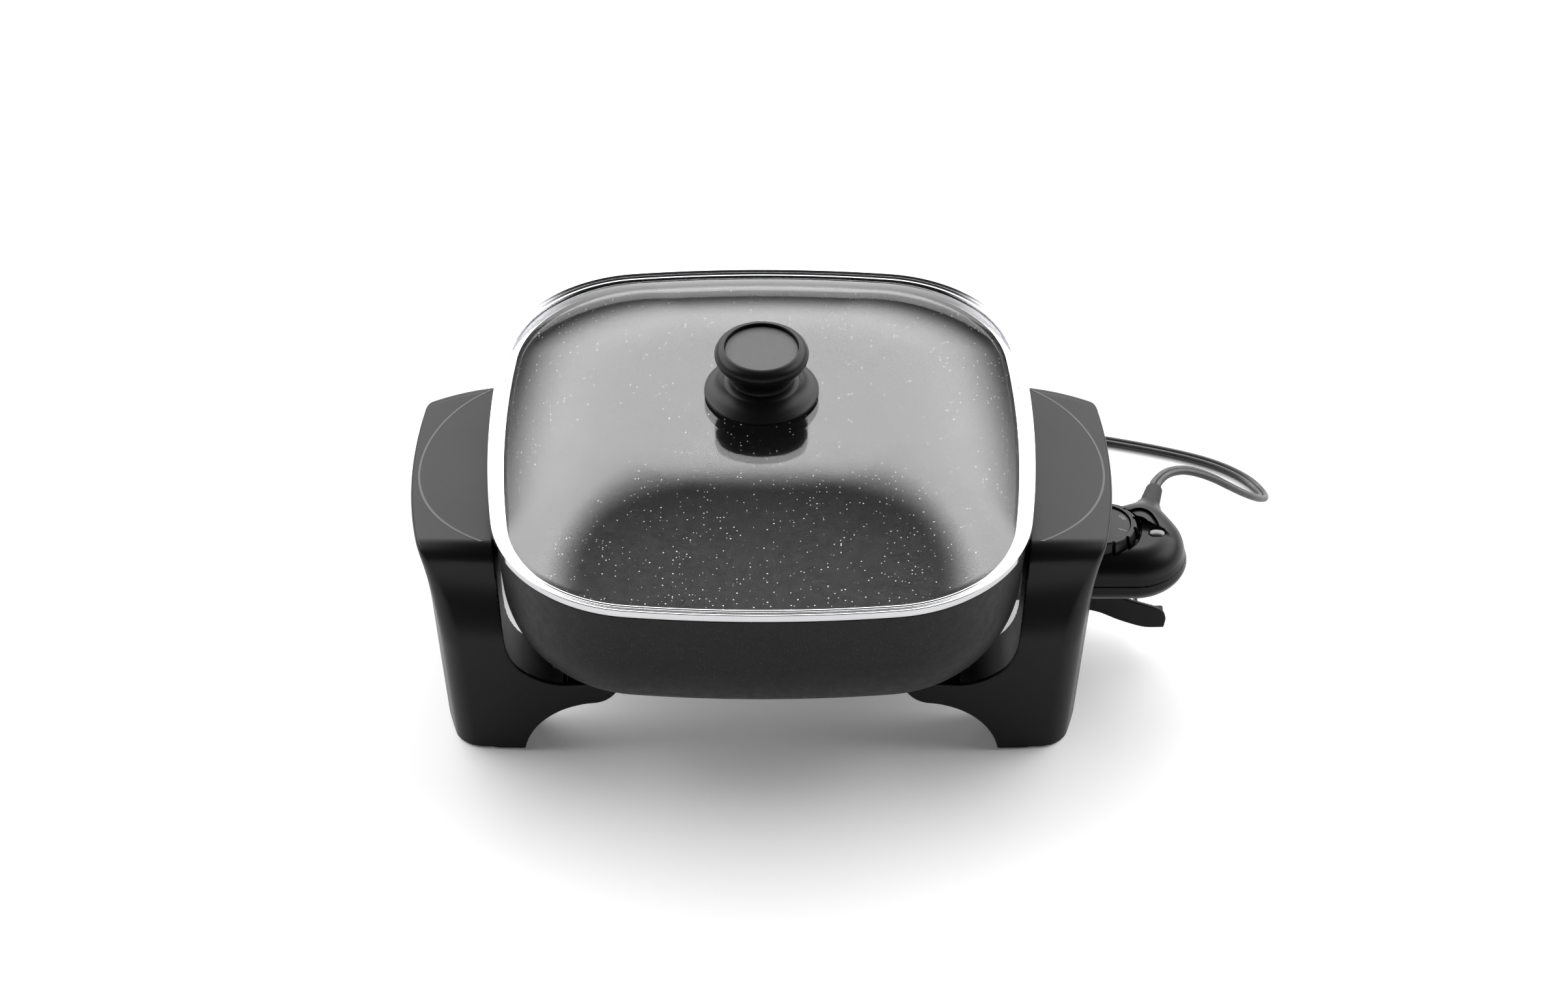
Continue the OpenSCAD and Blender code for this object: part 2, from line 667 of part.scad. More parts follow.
knob_z0 = glass_top + 0.1;
knob_z1 = knob_z0 + knob_h - 0.1;
rim_r = 5.5;                // the knob's rolled rim
skirt_h = 11;
module knob_skirt() {
    color([0.07, 0.07, 0.07]) seated()
    translate([0, 0, knob_z0]) rotate_extrude($fn = 120) {
        edge = 2.6;
        flare_r = skirt_h - edge + 4;
        difference() {
            polygon([[bolt_d / 2 + 0.2, 0], [skirt_r, 0], [skirt_r, edge], [neck_r + 0.6, skirt_h],
                [bolt_d / 2 + 0.2, skirt_h]]);
            translate([skirt_r, edge + flare_r]) circle(r = flare_r, $fn = 96);
            translate([neck_r - 4, -1]) square([skirt_r - neck_r + 1, 1.6]);
        }
    }
}

module knob_body() {
    color([0.07, 0.07, 0.07]) seated()
    translate([0, 0, knob_z0 + skirt_h]) rotate_extrude($fn = 120) {
        h = knob_z1 - knob_z0 - skirt_h;
        rim_c = [knob_r - rim_r, h - rim_r];
        difference() {
            union() {
                polygon([[0, 0], [neck_r, 0], [neck_r - 0.9, 2.5], [neck_r - 0.4, 5],
                    [knob_r - 1.6, h - rim_r - 3.4], [rim_c[0] + 3, rim_c[1] + 3],
                    [rim_c[0], h - 2.1], [0, h - 2.1]]);
                translate(rim_c) circle(r = rim_r, $fn = 64);
            }
            translate([0, h - 4.1]) square([cap_r, 10]);
            translate([0, -1]) square([bolt_d / 2, 8]);
        }
    }
}

module knob_cap() {
    color([0.16, 0.16, 0.16]) seated()
    translate([0, 0, knob_z1 - 4.1]) cylinder(r = cap_r - 0.1, h = 2, $fn = 120);
}

module knob_screw() {
    color([0.75, 0.75, 0.75]) seated()
    translate([0, 0, glass_top - glass_t - 1.4])
        screw(bolt_d, glass_t + skirt_h + 7, 10, 3);
}

module knob_washer() {
    color([0.25, 0.25, 0.25]) seated()
    translate([0, 0, glass_top - glass_t - 1.3]) difference() {
        cylinder(d = 20, h = 1.3, $fn = 60);
        translate([0, 0, -1]) cylinder(d = bolt_d + 0.2, h = 4, $fn = 40);
    }
}

// ---- Probe control ----
split_z = 70;
nose_hw = guard_hw - guard_t - 0.7;
nose_hh = guard_hh - guard_t - 1;
nose_x0 = lug_x + 3.2;
socket_d = 8.4;
seat_z = house_z1 - 4.6;
neck_from = [house_x + 6, 16, 74];
neck_dir = 15;              // the neck leans this far from +Y towards +X
neck_l = 22.5;
neck_r0 = 15;
neck_r1 = 7.6;
neck_end = neck_from + neck_l * [sin(neck_dir), cos(neck_dir), 0];
relief_l = 26;
relief_in = 8;
relief_r0 = 6.6;
relief_r1 = 5;
relief_end = relief_l - relief_in;
cord_in = 1.2;              // the cord starts this far inside the strain relief
cord_start = neck_end + (relief_end - cord_in) * [sin(neck_dir), cos(neck_dir), 0];
lamp_x = house_x + 14;
lamp_y = -2.7;
shell_screw_x = [house_x0 + 11, house_x + 22];
shell_screw_y = 20;

// Half section of the housing, t inside its skin
module house_profile(t) {
    low = arc([house_hw - 12, house_z0 + 12], 12 - t, -90, 0, 7);
    high = arc([house_hw - 17, house_z1 - 15], 15 - t, 0, 90, 8);
    polygon(concat([[0, house_z0 + t]], low, [[house_hw - 2 - t, house_z1 - 15]], high,
        [[0, house_z1 - t]]));
}

module neck_solid(t) {
    translate(neck_from) rotate([-90, 0, -neck_dir])
        cylinder(r1 = neck_r0 - t, r2 = neck_r1 - t, h = neck_l + (t > 0 ? 1 : 0), $fn = 64);
}

module house_solid(t) {
    translate([house_x, 0, 0]) rotate_extrude($fn = 96) house_profile(t);
    for (m = [0, 1]) mirror([0, m, 0])
        translate([house_x0 + t, 0, 0]) rotate([90, 0, 90])
            linear_extrude(house_x - house_x0 - t) house_profile(t);
    neck_solid(t);
}

module along(p, a) { translate(p) rotate([-90, 0, -a]) children(); }

module shell_half(top) {
    difference() {
        house_solid(0);
        house_solid(house_t);
        translate([0, -far / 2, top ? split_z + 0.1 - far : split_z]) cube(far);
        // mouth for the socket block
        translate([house_x0 - 1, -nose_hw - 0.1, rod_z - nose_hh - 0.1])
            cube([house_t + 4.5, 2 * nose_hw + 0.2, 2 * nose_hh + 0.2]);
        along(neck_end - [0, 0, 0], neck_dir) translate([0, 0, -relief_in - 1])
            cylinder(r = relief_r0 + 0.1, h = 20, $fn = 48);
    }
}

module probe_top_shell() {
    color([0.08, 0.08, 0.08]) seated()
    difference() {
        union() {
            shell_half(true);
            // seat and bearing for the dial
            translate([dial_x, 0, seat_z - 2]) cylinder(r = dial_r + 2.5, h = 2, $fn = 96);
            translate([dial_x, 0, seat_z - 8]) cylinder(r = 6, h = 7, $fn = 48);
            intersection() {
                house_solid(1);
                for (x = shell_screw_x, s = [-1, 1])
                    translate([x, s * shell_post(x), split_z + 0.1]) cylinder(d = 6, h = 20, $fn = 32);
            }
        }
        translate([dial_x, 0, seat_z]) cylinder(r = dial_r + 0.6, h = 20, $fn = 96);
        translate([dial_x, 0, seat_z - 10]) cylinder(r = spindle_r + fit_gap, h = 20, $fn = 48);
        translate([lamp_x, lamp_y, house_z1 - 6]) lens_plan(0.1, 12);
        for (x = shell_screw_x, s = [-1, 1]) translate([x, s * shell_post(x), split_z])
            cylinder(d = 2.6, h = 8, $fn = 24);
    }
}
function shell_post(x) = x > house_x ? 13 : shell_screw_y;

module probe_bottom_shell() {
    color([0.08, 0.08, 0.08]) seated()
    difference() {
        union() {
            shell_half(false);
            intersection() {
                house_solid(1);
                for (x = shell_screw_x, s = [-1, 1]) translate([x, s * shell_post(x), house_z0 - 1])
                    cylinder(d = 7, h = split_z - house_z0 + 1, $fn = 32);
            }
            // ears for the release lever's pin
            for (s = [0, 1]) mirror([0, s, 0]) translate([pivot[0], ear_y, 0]) {
                translate([-4, 0, pivot[1]]) cube([8, ear_t, house_z0 - pivot[1] + 1.5]);
                translate([0, ear_t, pivot[1]]) rotate([90, 0, 0]) cylinder(r = 4, h = ear_t, $fn = 40);
            }
        }
        for (x = shell_screw_x, s = [-1, 1]) translate([x, s * shell_post(x), house_z0 - 1]) {
            cylinder(d = 3, h = 30, $fn = 24);
            cylinder(d = 5.6, h = 4, $fn = 32);
        }
        translate([pivot[0], 30, pivot[1]]) rotate([90, 0, 0])
            cylinder(d = lever_pin_d, h = 60, $fn = 32);
    }
}

module shell_screws() {
    color([0.7, 0.7, 0.7]) seated()
    for (x = shell_screw_x, s = [-1, 1]) translate([x, s * shell_post(x), house_z0 + 3])
        screw(2.6, split_z - house_z0 + 4, 5, 2);
}

module socket_block() {
    color([0.12, 0.11, 0.1]) seated()
    difference() {
        translate([nose_x0, -nose_hw, rod_z - nose_hh])
            cube([house_x0 + house_t + 3 - nose_x0, 2 * nose_hw, 2 * nose_hh]);
        for (s = [-1, 1]) translate([nose_x0 - 1, s * pin_y, rod_z]) rotate([0, 90, 0])
            cylinder(d = socket_d, h = 60, $fn = 48);
        translate([nose_x0 - 1, 0, rod_z]) rotate([0, 90, 0]) cylinder(d = rod_d, h = 60, $fn = 40);
        // lightening pockets, open to the front
        for (s = [-1, 1]) translate([nose_x0 - 1, s * 8.2 - 1.8, rod_z - 5]) cube([18, 3.6, 10]);
    }
}

module contact_sockets() {
    color([0.75, 0.72, 0.6]) seated()
    for (s = [-1, 1]) translate([nose_x0 + 0.8, s * pin_y, rod_z]) rotate([0, 90, 0])
        difference() {
            cylinder(d = socket_d, h = house_x0 - nose_x0, $fn = 48);
            translate([0, 0, -1]) cylinder(d = pin_d + 2 * fit_gap, h = pin_x1 - lug_x, $fn = 40);
            // the spring slits of each socket
            translate([-0.5, -10, -1]) cube([1, 20, 14]);
        }
}

module probe_rod() {
    color([0.75, 0.75, 0.73]) seated()
    translate([rod_x0, 0, rod_z]) rotate([0, 90, 0]) {
        translate([0, 0, 1]) cylinder(d = rod_d, h = house_x0 + 14 - rod_x0 - 1, $fn = 40);
        cylinder(d1 = rod_d - 2, d2 = rod_d, h = 1, $fn = 40);
    }
}

module thermostat_base() {
    color([0.9, 0.88, 0.82]) seated()
    difference() {
        translate([house_x0 + 16, -13, house_z0 + house_t + 0.1]) cube([36, 26, 4]);
        for (s = [-1, 1]) translate([house_x0 + 22, s * 8, house_z0]) cylinder(d = 3, h = 12, $fn = 24);
    }
}

module bimetal_blade() {
    color([0.7, 0.6, 0.4]) seated()
    difference() {
        translate([house_x0 + 12, -4, rod_z + rod_d / 2]) cube([30, 8, 1]);
        translate([dial_x, 0, rod_z]) cylinder(d = 3, h = 12, $fn = 24);
    }
}

module contact_arm() {
    color([0.75, 0.5, 0.3]) seated()
    for (s = [-1, 1]) {
        translate([house_x0 + 22, s * 8 - 3, house_z0 + house_t + 4.1]) cube([24, 6, 0.8]);
        translate([house_x0 + 43, s * 8, house_z0 + house_t + 4.9]) cylinder(d = 4, h = 1.4, $fn = 32);
    }
}

module neon_lamp() {
    color([0.9, 0.5, 0.3]) seated()
    translate([lamp_x, lamp_y, house_z1 - 16]) {
        cylinder(d = 5, h = 8, $fn = 40);
        translate([0, 0, 8]) sphere(d = 5, $fn = 40);
    }
}

module lens_plan(g, h) {
    hull() for (s = [-1, 1]) translate([s * 1.9, 0, 0]) cylinder(r = 3 + g, h = h, $fn = 32);
}

module indicator_lens() {
    color([0.35, 0.33, 0.32, 0.9]) seated()
    intersection() {
        translate([lamp_x, lamp_y, house_z1 - 5.6]) lens_plan(0, 7);
        translate([lamp_x, lamp_y, house_z1 - 12]) sphere(r = 12.9, $fn = 64);
    }
}

module strain_relief() {
    color([0.08, 0.08, 0.08]) seated()
    along(neck_end, neck_dir) difference() {
        union() {
            translate([0, 0, -relief_in]) cylinder(r1 = relief_r0, r2 = relief_r1, h = relief_l, $fn = 48);
            translate([0, 0, -relief_in]) cylinder(r = relief_r0, h = 3, $fn = 48);
        }
        // ribs moulded as shallow grooves
        for (z = [4, 8, 12]) translate([0, 0, z]) difference() {
            cylinder(r = 9, h = 1.4, $fn = 48);
            translate([0, 0, -1]) cylinder(r = 4.4, h = 4, $fn = 48);
        }
        // pocket that the cord runs into
        translate([-cord_w / 2 - part_gap, -cord_t / 2 - part_gap, relief_end - cord_in - 1])
            cube([cord_w + 2 * part_gap, cord_t + 2 * part_gap, 9]);
    }
}

// ---- Dial ----
spindle_r = 3;
dial_z = seat_z + 0.4;
dial_top_r = dial_r - 2.8;
face_r = 16;
module dial_ring() {
    color([0.07, 0.07, 0.07]) seated()
    translate([dial_x, 0, dial_z]) difference() {
        rotate_extrude($fn = 120) polygon([
            [spindle_r, 1.5], [10, 1.5], [10, 0], [dial_r, 0], [dial_r, 1.2], [dial_top_r + 1, dial_h - 1.2],
            [dial_top_r, dial_h], [face_r, dial_h], [face_r, dial_h - 2.2], [spindle_r, dial_h - 2.2]]);
        for (i = [0:dial_ribs - 1]) rotate([0, 0, 360 * (i + 0.5) / dial_ribs])
            translate([dial_top_r - 1, -0.9, 1.6]) cube([6, 1.8, dial_h]);
    }
}

module dial_face() {
    color([0.25, 0.25, 0.25]) seated()
    translate([dial_x, 0, dial_z + dial_h - 2.2]) cylinder(r = face_r - 0.1, h = 1.2, $fn = 96);
}

module dial_spindle() {
    color([0.7, 0.65, 0.5]) seated()
    translate([dial_x, 0, 0]) {
        translate([0, 0, rod_z + rod_d / 2 + 2.2])
            cylinder(r = spindle_r, h = dial_z + dial_h - 2.2 - rod_z - rod_d / 2 - 2.2, $fn = 48);
        translate([0, 0, rod_z + rod_d / 2 + 1.4]) cylinder(r = 5, h = 1.6, $fn = 48);
    }
}

// ---- Release lever under the probe ----
pivot = [house_x0 + 14, house_z0 - 7];
lever_pin_d = 3;
ear_t = 3;
lever_y = 9;                // half width of the lever
ear_y = lever_y + part_gap;
lever_w = 2.6;
spring_room = 8.4;
// Side view of the lever, measured from its pin: top edge, bottom edge and inner end
lever_top = [[2, 3.4], [16, 1.3], [27, -3.4], [39, -9.4], [50, -13.4], [56, -15.8],
    [59.6, -19.4], [61, -24]];
lever_low = [[60, -30.4], [51, -30.6], [44, -29.2], [32, -24.4], [21, -18.8], [11, -15.6],
    [2, -11], [-3, -4.6]];
lever_inner = [[-4, 0], [-2, 3.6]];

module lever_side(o) {
    rotate([90, 0, 0]) linear_extrude(o) polygon(concat(lever_top, lever_low, lever_inner));
}

module release_lever() {
    color([0.08, 0.08, 0.08]) seated()
    translate([pivot[0], 0, pivot[1]]) difference() {
        union() {
            // broad front wall, a web along its lower edge and ribs across
            translate([0, lever_w - lever_y, 0]) lever_side(lever_w);
            translate([0, lever_y, 0]) intersection() {
                lever_side(2 * lever_y);
                union() {
                    for (i = [0:len(lever_low) - 2])
                        lever_web(lever_low[i], lever_low[i + 1]);
                    for (x = [14, 28, 42])
                        translate([x, -2 * lever_y, -far]) cube([1.6, 2 * lever_y, far - (x - 14) / 2]);
                }
            }
            translate([0, lever_y, 0]) rotate([90, 0, 0])
                cylinder(r = 4.2, h = 2 * lever_y, $fn = 40);
        }
        translate([0, far / 2, 0]) rotate([90, 0, 0])
            cylinder(d = lever_pin_d + 2 * fit_gap, h = far, $fn = 32);
        // room for the spring on the pin
        translate([0, spring_room / 2, 0]) rotate([90, 0, 0])
            cylinder(r = 4.6, h = spring_room, $fn = 40);
    }
}

module lever_web(a, b) {
    d = b - a;
    translate([a[0], 0, a[1]]) rotate([0, -atan2(d[1], d[0]), 0])
        translate([-0.6, -2 * lever_y, -lever_w]) cube([norm(d) + 1.2, 2 * lever_y, 2 * lever_w]);
}

module lever_pin() {
    color([0.7, 0.7, 0.7]) seated()
    translate([pivot[0], ear_y + ear_t, pivot[1]]) rotate([90, 0, 0])
        cylinder(d = lever_pin_d, h = 2 * (ear_y + ear_t), $fn = 32);
}

// A flat ring of points swept along a route: frames have no roll, the flat side stays level
function unit(v) = v / norm(v);
function tangent(p, i) = unit(p[min(i + 1, len(p) - 1)] - p[max(i - 1, 0)]);
function across(t) = unit(cross(t, [0, 0, 1]));
// Eight points make a chamfered oblong, six a flat hexagon; both are w wide and h thick
function ring_points(c, t, w, h, n) = let (u = across(t), v = cross(u, t), turn = n == 8 ? 22.5 : 0,
    wide = w / 2 / cos(turn), thick = h / 2 / (n == 8 ? cos(22.5) : cos(30)))
    [for (k = [0:n - 1]) let (a = 360 * k / n + turn) c + u * wide * cos(a) + v * thick * sin(a)];

module tube(route, w, h, n) {
    m = len(route);
    points = [for (i = [0:m - 1]) each ring_points(route[i], tangent(route, i), w, h, n)];
    sides = [for (i = [0:m - 2], k = [0:n - 1]) each [
        [i * n + k, i * n + (k + 1) % n, (i + 1) * n + k],
        [i * n + (k + 1) % n, (i + 1) * n + (k + 1) % n, (i + 1) * n + k]]];
    first = [for (k = [1:n - 2]) [0, k + 1, k]];
    last = [for (k = [1:n - 2]) [(m - 1) * n, (m - 1) * n + k, (m - 1) * n + k + 1]];
    polyhedron(points, concat(sides, first, last));
}

// The lever's torsion spring: six close turns round the pin
spring_turns = 6;
spring_r = 2.6;
spring_wire = 0.8;
module lever_spring() {
    color([0.75, 0.75, 0.75]) seated()
    spring_path();
}
module spring_path() {
    pitch = 1.25;
    n = 10;
    y0 = -spring_turns * pitch / 2;
    route = [for (i = [0:spring_turns * n]) [
        pivot[0] + spring_r * cos(360 * i / n), y0 + pitch * i / n, pivot[1] + spring_r * sin(360 * i / n)]];
    m = len(route);
    k = 6;
    points = [for (i = [0:m - 1]) let (a = 360 * i / n, out = [cos(a), 0, sin(a)])
        for (j = [0:k - 1]) route[i] + spring_wire / 2 * (out * cos(60 * j) + [0, 1, 0] * sin(60 * j))];
    sides = [for (i = [0:m - 2], j = [0:k - 1]) each [
        [i * k + j, (i + 1) * k + j, i * k + (j + 1) % k],
        [i * k + (j + 1) % k, (i + 1) * k + j, (i + 1) * k + (j + 1) % k]]];
    first = [for (j = [1:k - 2]) [0, j, j + 1]];
    last = [for (j = [1:k - 2]) [(m - 1) * k, (m - 1) * k + j + 1, (m - 1) * k + j]];
    polyhedron(points, concat(sides, first, last));
}

// ---- Cord ----
// Route of the cord's centre from the strain relief to the coil, chosen by hand
coil_c = [90, 160];
coil_z = 3;
turn_step = cord_w + 0.5;   // from one turn to the next
layer_up = cord_t + 0.6;    // from the lower layer to the upper
cord_points = [
    [239, 60.8, 74], [244.4, 69.6, 73], [251.2, 76.2, 70.6], [259, 81, 67],
    [268, 84.6, 61.6], [277, 88, 54.6], [286, 92, 46], [295, 97.4, 36.4],
    [303, 104.6, 26.8], [309, 114, 17.6], [312, 125, 9.6], [311, 137, 4.4],
    [305.6, 148.4, 2.5], [296, 158, 2.3], [284, 166, 2.3], [270, 172.6, 2.3],
    [254, 178.4, 2.3], [236, 184, 2.3], [216, 189.4, 2.3], [194, 194.6, 2.3],
    [170, 199.4, 2.3], [146, 203.4, 2.4], [124, 206.4, 2.7]
];
coil_in = [coil_c[0] + cord_w, coil_c[1] + coil_r, coil_z];
coil_out = [coil_c[0] - cord_w, coil_c[1] + coil_r, coil_z + layer_up];
// A smooth curve through the points, with steps points to each stretch
function bend(p, i, t) =
    let (a = p[max(i - 1, 0)], b = p[i], c = p[i + 1], d = p[min(i + 2, len(p) - 1)])
    0.5 * (2 * b + (c - a) * t + (2 * a - 5 * b + 4 * c - d) * t * t + (3 * b - a - 3 * c + d) * t * t * t);
function smooth(p, steps) = concat(
    [for (i = [0:len(p) - 2], k = [0:steps - 1]) bend(p, i, k / steps)], [p[len(p) - 1]]);
function path_length(p) = [for (i = 0, s = 0; i < len(p) - 1; s = s + norm(p[i + 1] - p[i]), i = i + 1)
    s + norm(p[i + 1] - p[i])][len(p) - 2];
cord_route = smooth(concat([cord_start], cord_points, [coil_in + [6, 0, 0], coil_in]), 3);

module supply_cord() {
    color([0.06, 0.06, 0.06]) seated() tube(cord_route, cord_w, cord_t, 8);
}

// Coil: two turns lie in a spiral, the second climbs over the first and spirals out
coil_turns = 2;
function coil_radius(u) = coil_r - turn_step * (u <= coil_turns / 2 ? u : coil_turns - u);
function climb(u) = let (s = max(0, min(1, (u - coil_turns / 2 + 0.25) / 0.5))) s * s * (3 - 2 * s);
function coil_point(u) = [coil_c[0] + coil_radius(u) * cos(90 + 360 * u),
    coil_c[1] + coil_radius(u) * sin(90 + 360 * u), coil_z + layer_up * climb(u)];
coil_rings = 24;
coil_route = concat([coil_in], [for (i = [0:coil_turns * coil_rings]) coil_point(i / coil_rings)], [coil_out]);
// Least gap between the two turns, from the distance of two points on them and the cord's
// hexagonal section: past the flat sides, or past the slanting ones
function section_gap(p, q) = let (d = q - p, flat = norm([d[0], d[1]]), up = abs(d[2]))
    max(up - cord_t, ((flat - cord_w) * cord_t + up * cord_w / 2) / norm([cord_t, cord_w / 2]));
coil_gap = min([for (i = [1:coil_rings], j = [-4:4])
    let (k = i + coil_rings + j)
    if (k <= coil_turns * coil_rings) section_gap(coil_route[i], coil_route[k])]);
echo(coil_self_gap = coil_gap);

module cord_coil() {
    color([0.06, 0.06, 0.06]) seated() tube(coil_route, cord_w, cord_t, 6);
}

// Short tail from the coil to the plug
plug_rear = [coil_c[0] - 34, coil_c[1] + coil_r + 1, 8];
tail_route = smooth([coil_out, coil_out + [-8, 0, 0.1], plug_rear + [8, 0, 0], plug_rear], 3);
echo(cord_length = path_length(cord_route) + path_length(coil_route) + path_length(tail_route));
module cord_tail() {
    color([0.06, 0.06, 0.06]) seated() tube(tail_route, cord_w, cord_t, 8);
}

// Band that holds the coil together, on the side away from the cord's ends
tie_t = 0.7;
tie_w = 9;
module cord_tie() {
    color([0.12, 0.12, 0.12]) seated()
    translate([coil_c[0] - tie_w / 2, coil_c[1], 0]) rotate([90, 0, 90]) linear_extrude(tie_w) {
        y0 = -coil_r - cord_w / 2 - 0.6;
        y1 = -coil_r + turn_step + cord_w / 2 + 1;
        z0 = coil_z - cord_t / 2 - 0.25;
        z1 = coil_z + layer_up + cord_t / 2 + 0.3;
        difference() {
            translate([y0 - tie_t, z0 - tie_t]) square([y1 - y0 + 2 * tie_t, z1 - z0 + 2 * tie_t]);
            translate([y0, z0]) square([y1 - y0, z1 - z0]);
        }
    }
}

// Plug: a tapered moulded body and two flat blades
plug_l = 32;
blade_pitch = 12.7;
blade_l = 22;
blade_t = 1.5;
blade_h = 6.4;
blade_in = 6;               // length of each blade inside the body
module plug_body() {
    color([0.07, 0.07, 0.07]) seated()
    difference() {
        translate(plug_rear) rotate([0, -90, 0]) difference() {
            union() {
                cylinder(r1 = 4.6, r2 = 6.4, h = 14, $fn = 48);
                translate([0, 0, 12]) hull() {
                    for (s = [-1, 1]) {
                        translate([0, s * 3, 0]) cylinder(r = 6, h = 1, $fn = 32);
                        translate([0, s * 6, plug_l - 14]) cylinder(r = 7.5, h = 2, $fn = 32);
                    }
                }
            }
            // finger grooves
            for (z = [18, 21.5, 25], s = [-1, 1]) translate([7.3 * s - 0.6, -7, z])
                cube([1.2, 14, 1.4]);
        }
        blades(cast_gap);
    }
}

// Two flat blades, grown by g; the holes near their tips stay as they are
module blades(g) {
    translate(plug_rear - [plug_l - blade_in, 0, 0])
        for (s = [-1, 1]) difference() {
            translate([-blade_l, s * blade_pitch / 2 - blade_t / 2 - g, -blade_h / 2 - g])
                cube([blade_l + g, blade_t + 2 * g, blade_h + 2 * g]);
            translate([5 - blade_l, s * blade_pitch / 2 + 3, 0]) rotate([90, 0, 0])
                cylinder(d = 3, h = 6, $fn = 32);
        }
}

module plug_blades() {
    color([0.8, 0.75, 0.55]) seated() blades(0);
}

pan();
heating_element();
terminal_pins();
terminal_bushes();
terminal_guard();
guard_screws();
right_frame();
left_frame();
right_liner();
left_liner();
grip_inlays();
rubber_feet();
boss_spacers();
frame_screws();
liner_screws();
lid_glass();
lid_ring();
knob_skirt();
knob_body();
knob_cap();
knob_screw();
knob_washer();
probe_top_shell();
probe_bottom_shell();
socket_block();
contact_sockets();
probe_rod();
thermostat_base();
bimetal_blade();
contact_arm();
neon_lamp();
indicator_lens();
strain_relief();
shell_screws();
dial_ring();
dial_face();
dial_spindle();
release_lever();
lever_pin();
lever_spring();
supply_cord();
cord_coil();
cord_tail();
cord_tie();
plug_body();
plug_blades();
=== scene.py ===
# %% [markdown]
# # A square electric skillet
# A deep cast pan stands in two black moulded side frames, each a grip and two legs in one.
# A domed glass lid in a steel ring lies loose on the rim, and a plug-in heat probe with a
# dial, a lamp, a release lever and a mains cord sticks out on the right.
# The measured solids come from the CAD model. This script gives them their finish, and
# makes finer meshes where the solids are too plain to be seen close up.

# %% The frame from the CAD model
import json
import math

import bpy
import numpy as np
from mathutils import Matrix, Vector


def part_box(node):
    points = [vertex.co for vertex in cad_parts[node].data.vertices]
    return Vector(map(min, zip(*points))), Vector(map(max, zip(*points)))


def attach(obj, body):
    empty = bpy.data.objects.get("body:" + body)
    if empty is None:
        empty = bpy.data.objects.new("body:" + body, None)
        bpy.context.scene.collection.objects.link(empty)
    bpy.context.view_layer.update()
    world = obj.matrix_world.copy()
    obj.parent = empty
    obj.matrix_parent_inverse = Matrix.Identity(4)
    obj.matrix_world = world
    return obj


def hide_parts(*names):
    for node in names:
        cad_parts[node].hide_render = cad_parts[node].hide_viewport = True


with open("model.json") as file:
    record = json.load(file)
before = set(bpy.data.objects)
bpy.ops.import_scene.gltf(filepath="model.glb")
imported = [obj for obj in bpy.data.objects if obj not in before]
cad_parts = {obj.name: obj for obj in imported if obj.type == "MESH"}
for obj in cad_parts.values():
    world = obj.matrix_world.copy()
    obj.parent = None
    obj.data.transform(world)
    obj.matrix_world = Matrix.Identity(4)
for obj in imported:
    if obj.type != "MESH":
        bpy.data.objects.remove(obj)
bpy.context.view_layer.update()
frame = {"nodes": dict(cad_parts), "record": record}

PAN_LOW, PAN_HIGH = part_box("pan")
PAN_X = (PAN_LOW.x + PAN_HIGH.x) / 2      # the pan's middle along x, in metres


# %% [markdown]
# ## Units
# The part was drawn in millimetres from the middle of the pan. Points in this script are
# written the same way, so that the numbers can be compared, and one function turns them
# into Blender's metres.

# %% From millimetres round the pan to metres
def metres(points):
    """Points in mm, counted from the pan's middle, as an array in metres."""
    return np.asarray(points, float).reshape(-1, 3) / 1000 + [PAN_X, 0, 0]


# %% [markdown]
# ## Camera
# The photograph looks down on the skillet at about forty degrees through a long lens, from
# three metres away. A long lens keeps the verticals almost parallel, which is what makes
# a product look calm. The small sideways shift is the place of the skillet in the picture.

# %% The camera
VIEW_DOWN = 39.78          # degrees below the level
VIEW_FAR = 3.0             # metres from the point looked at
VIEW_POINT = metres((0, -57.4, 160))[0]
SENSOR = 36.0              # mm
FOCAL = 119.33             # mm
PICTURE_W = 2408           # pixels across the photograph
PAN_COLUMN = 1169.5        # the column where the pan's middle appears

camera_data = bpy.data.cameras.new("camera")
camera_data.lens = FOCAL
camera_data.sensor_width = SENSOR
camera_data.shift_x = 0.5 - PAN_COLUMN / PICTURE_W
camera_data.clip_start = 0.1
camera_data.clip_end = 30
camera = bpy.data.objects.new("camera", camera_data)
down = math.radians(VIEW_DOWN)
camera.location = Vector(VIEW_POINT) + VIEW_FAR * Vector((0, -math.cos(down), math.sin(down)))
camera.rotation_euler = (math.pi / 2 - down, 0, 0)
bpy.context.scene.collection.objects.link(camera)
bpy.context.scene.camera = camera
print("camera at", [round(c, 3) for c in camera.location])

# %% [markdown]
# ## Materials, the common parts
# No surface on a real object has one flat colour. Each finish here starts as a Principled
# shader with its constant values typed straight into the sockets, and gets noise-driven
# changes of colour, of roughness and of height on top. Object coordinates are used
# throughout: they are in metres, so a grain of 0.4 mm stays 0.4 mm on every piece.

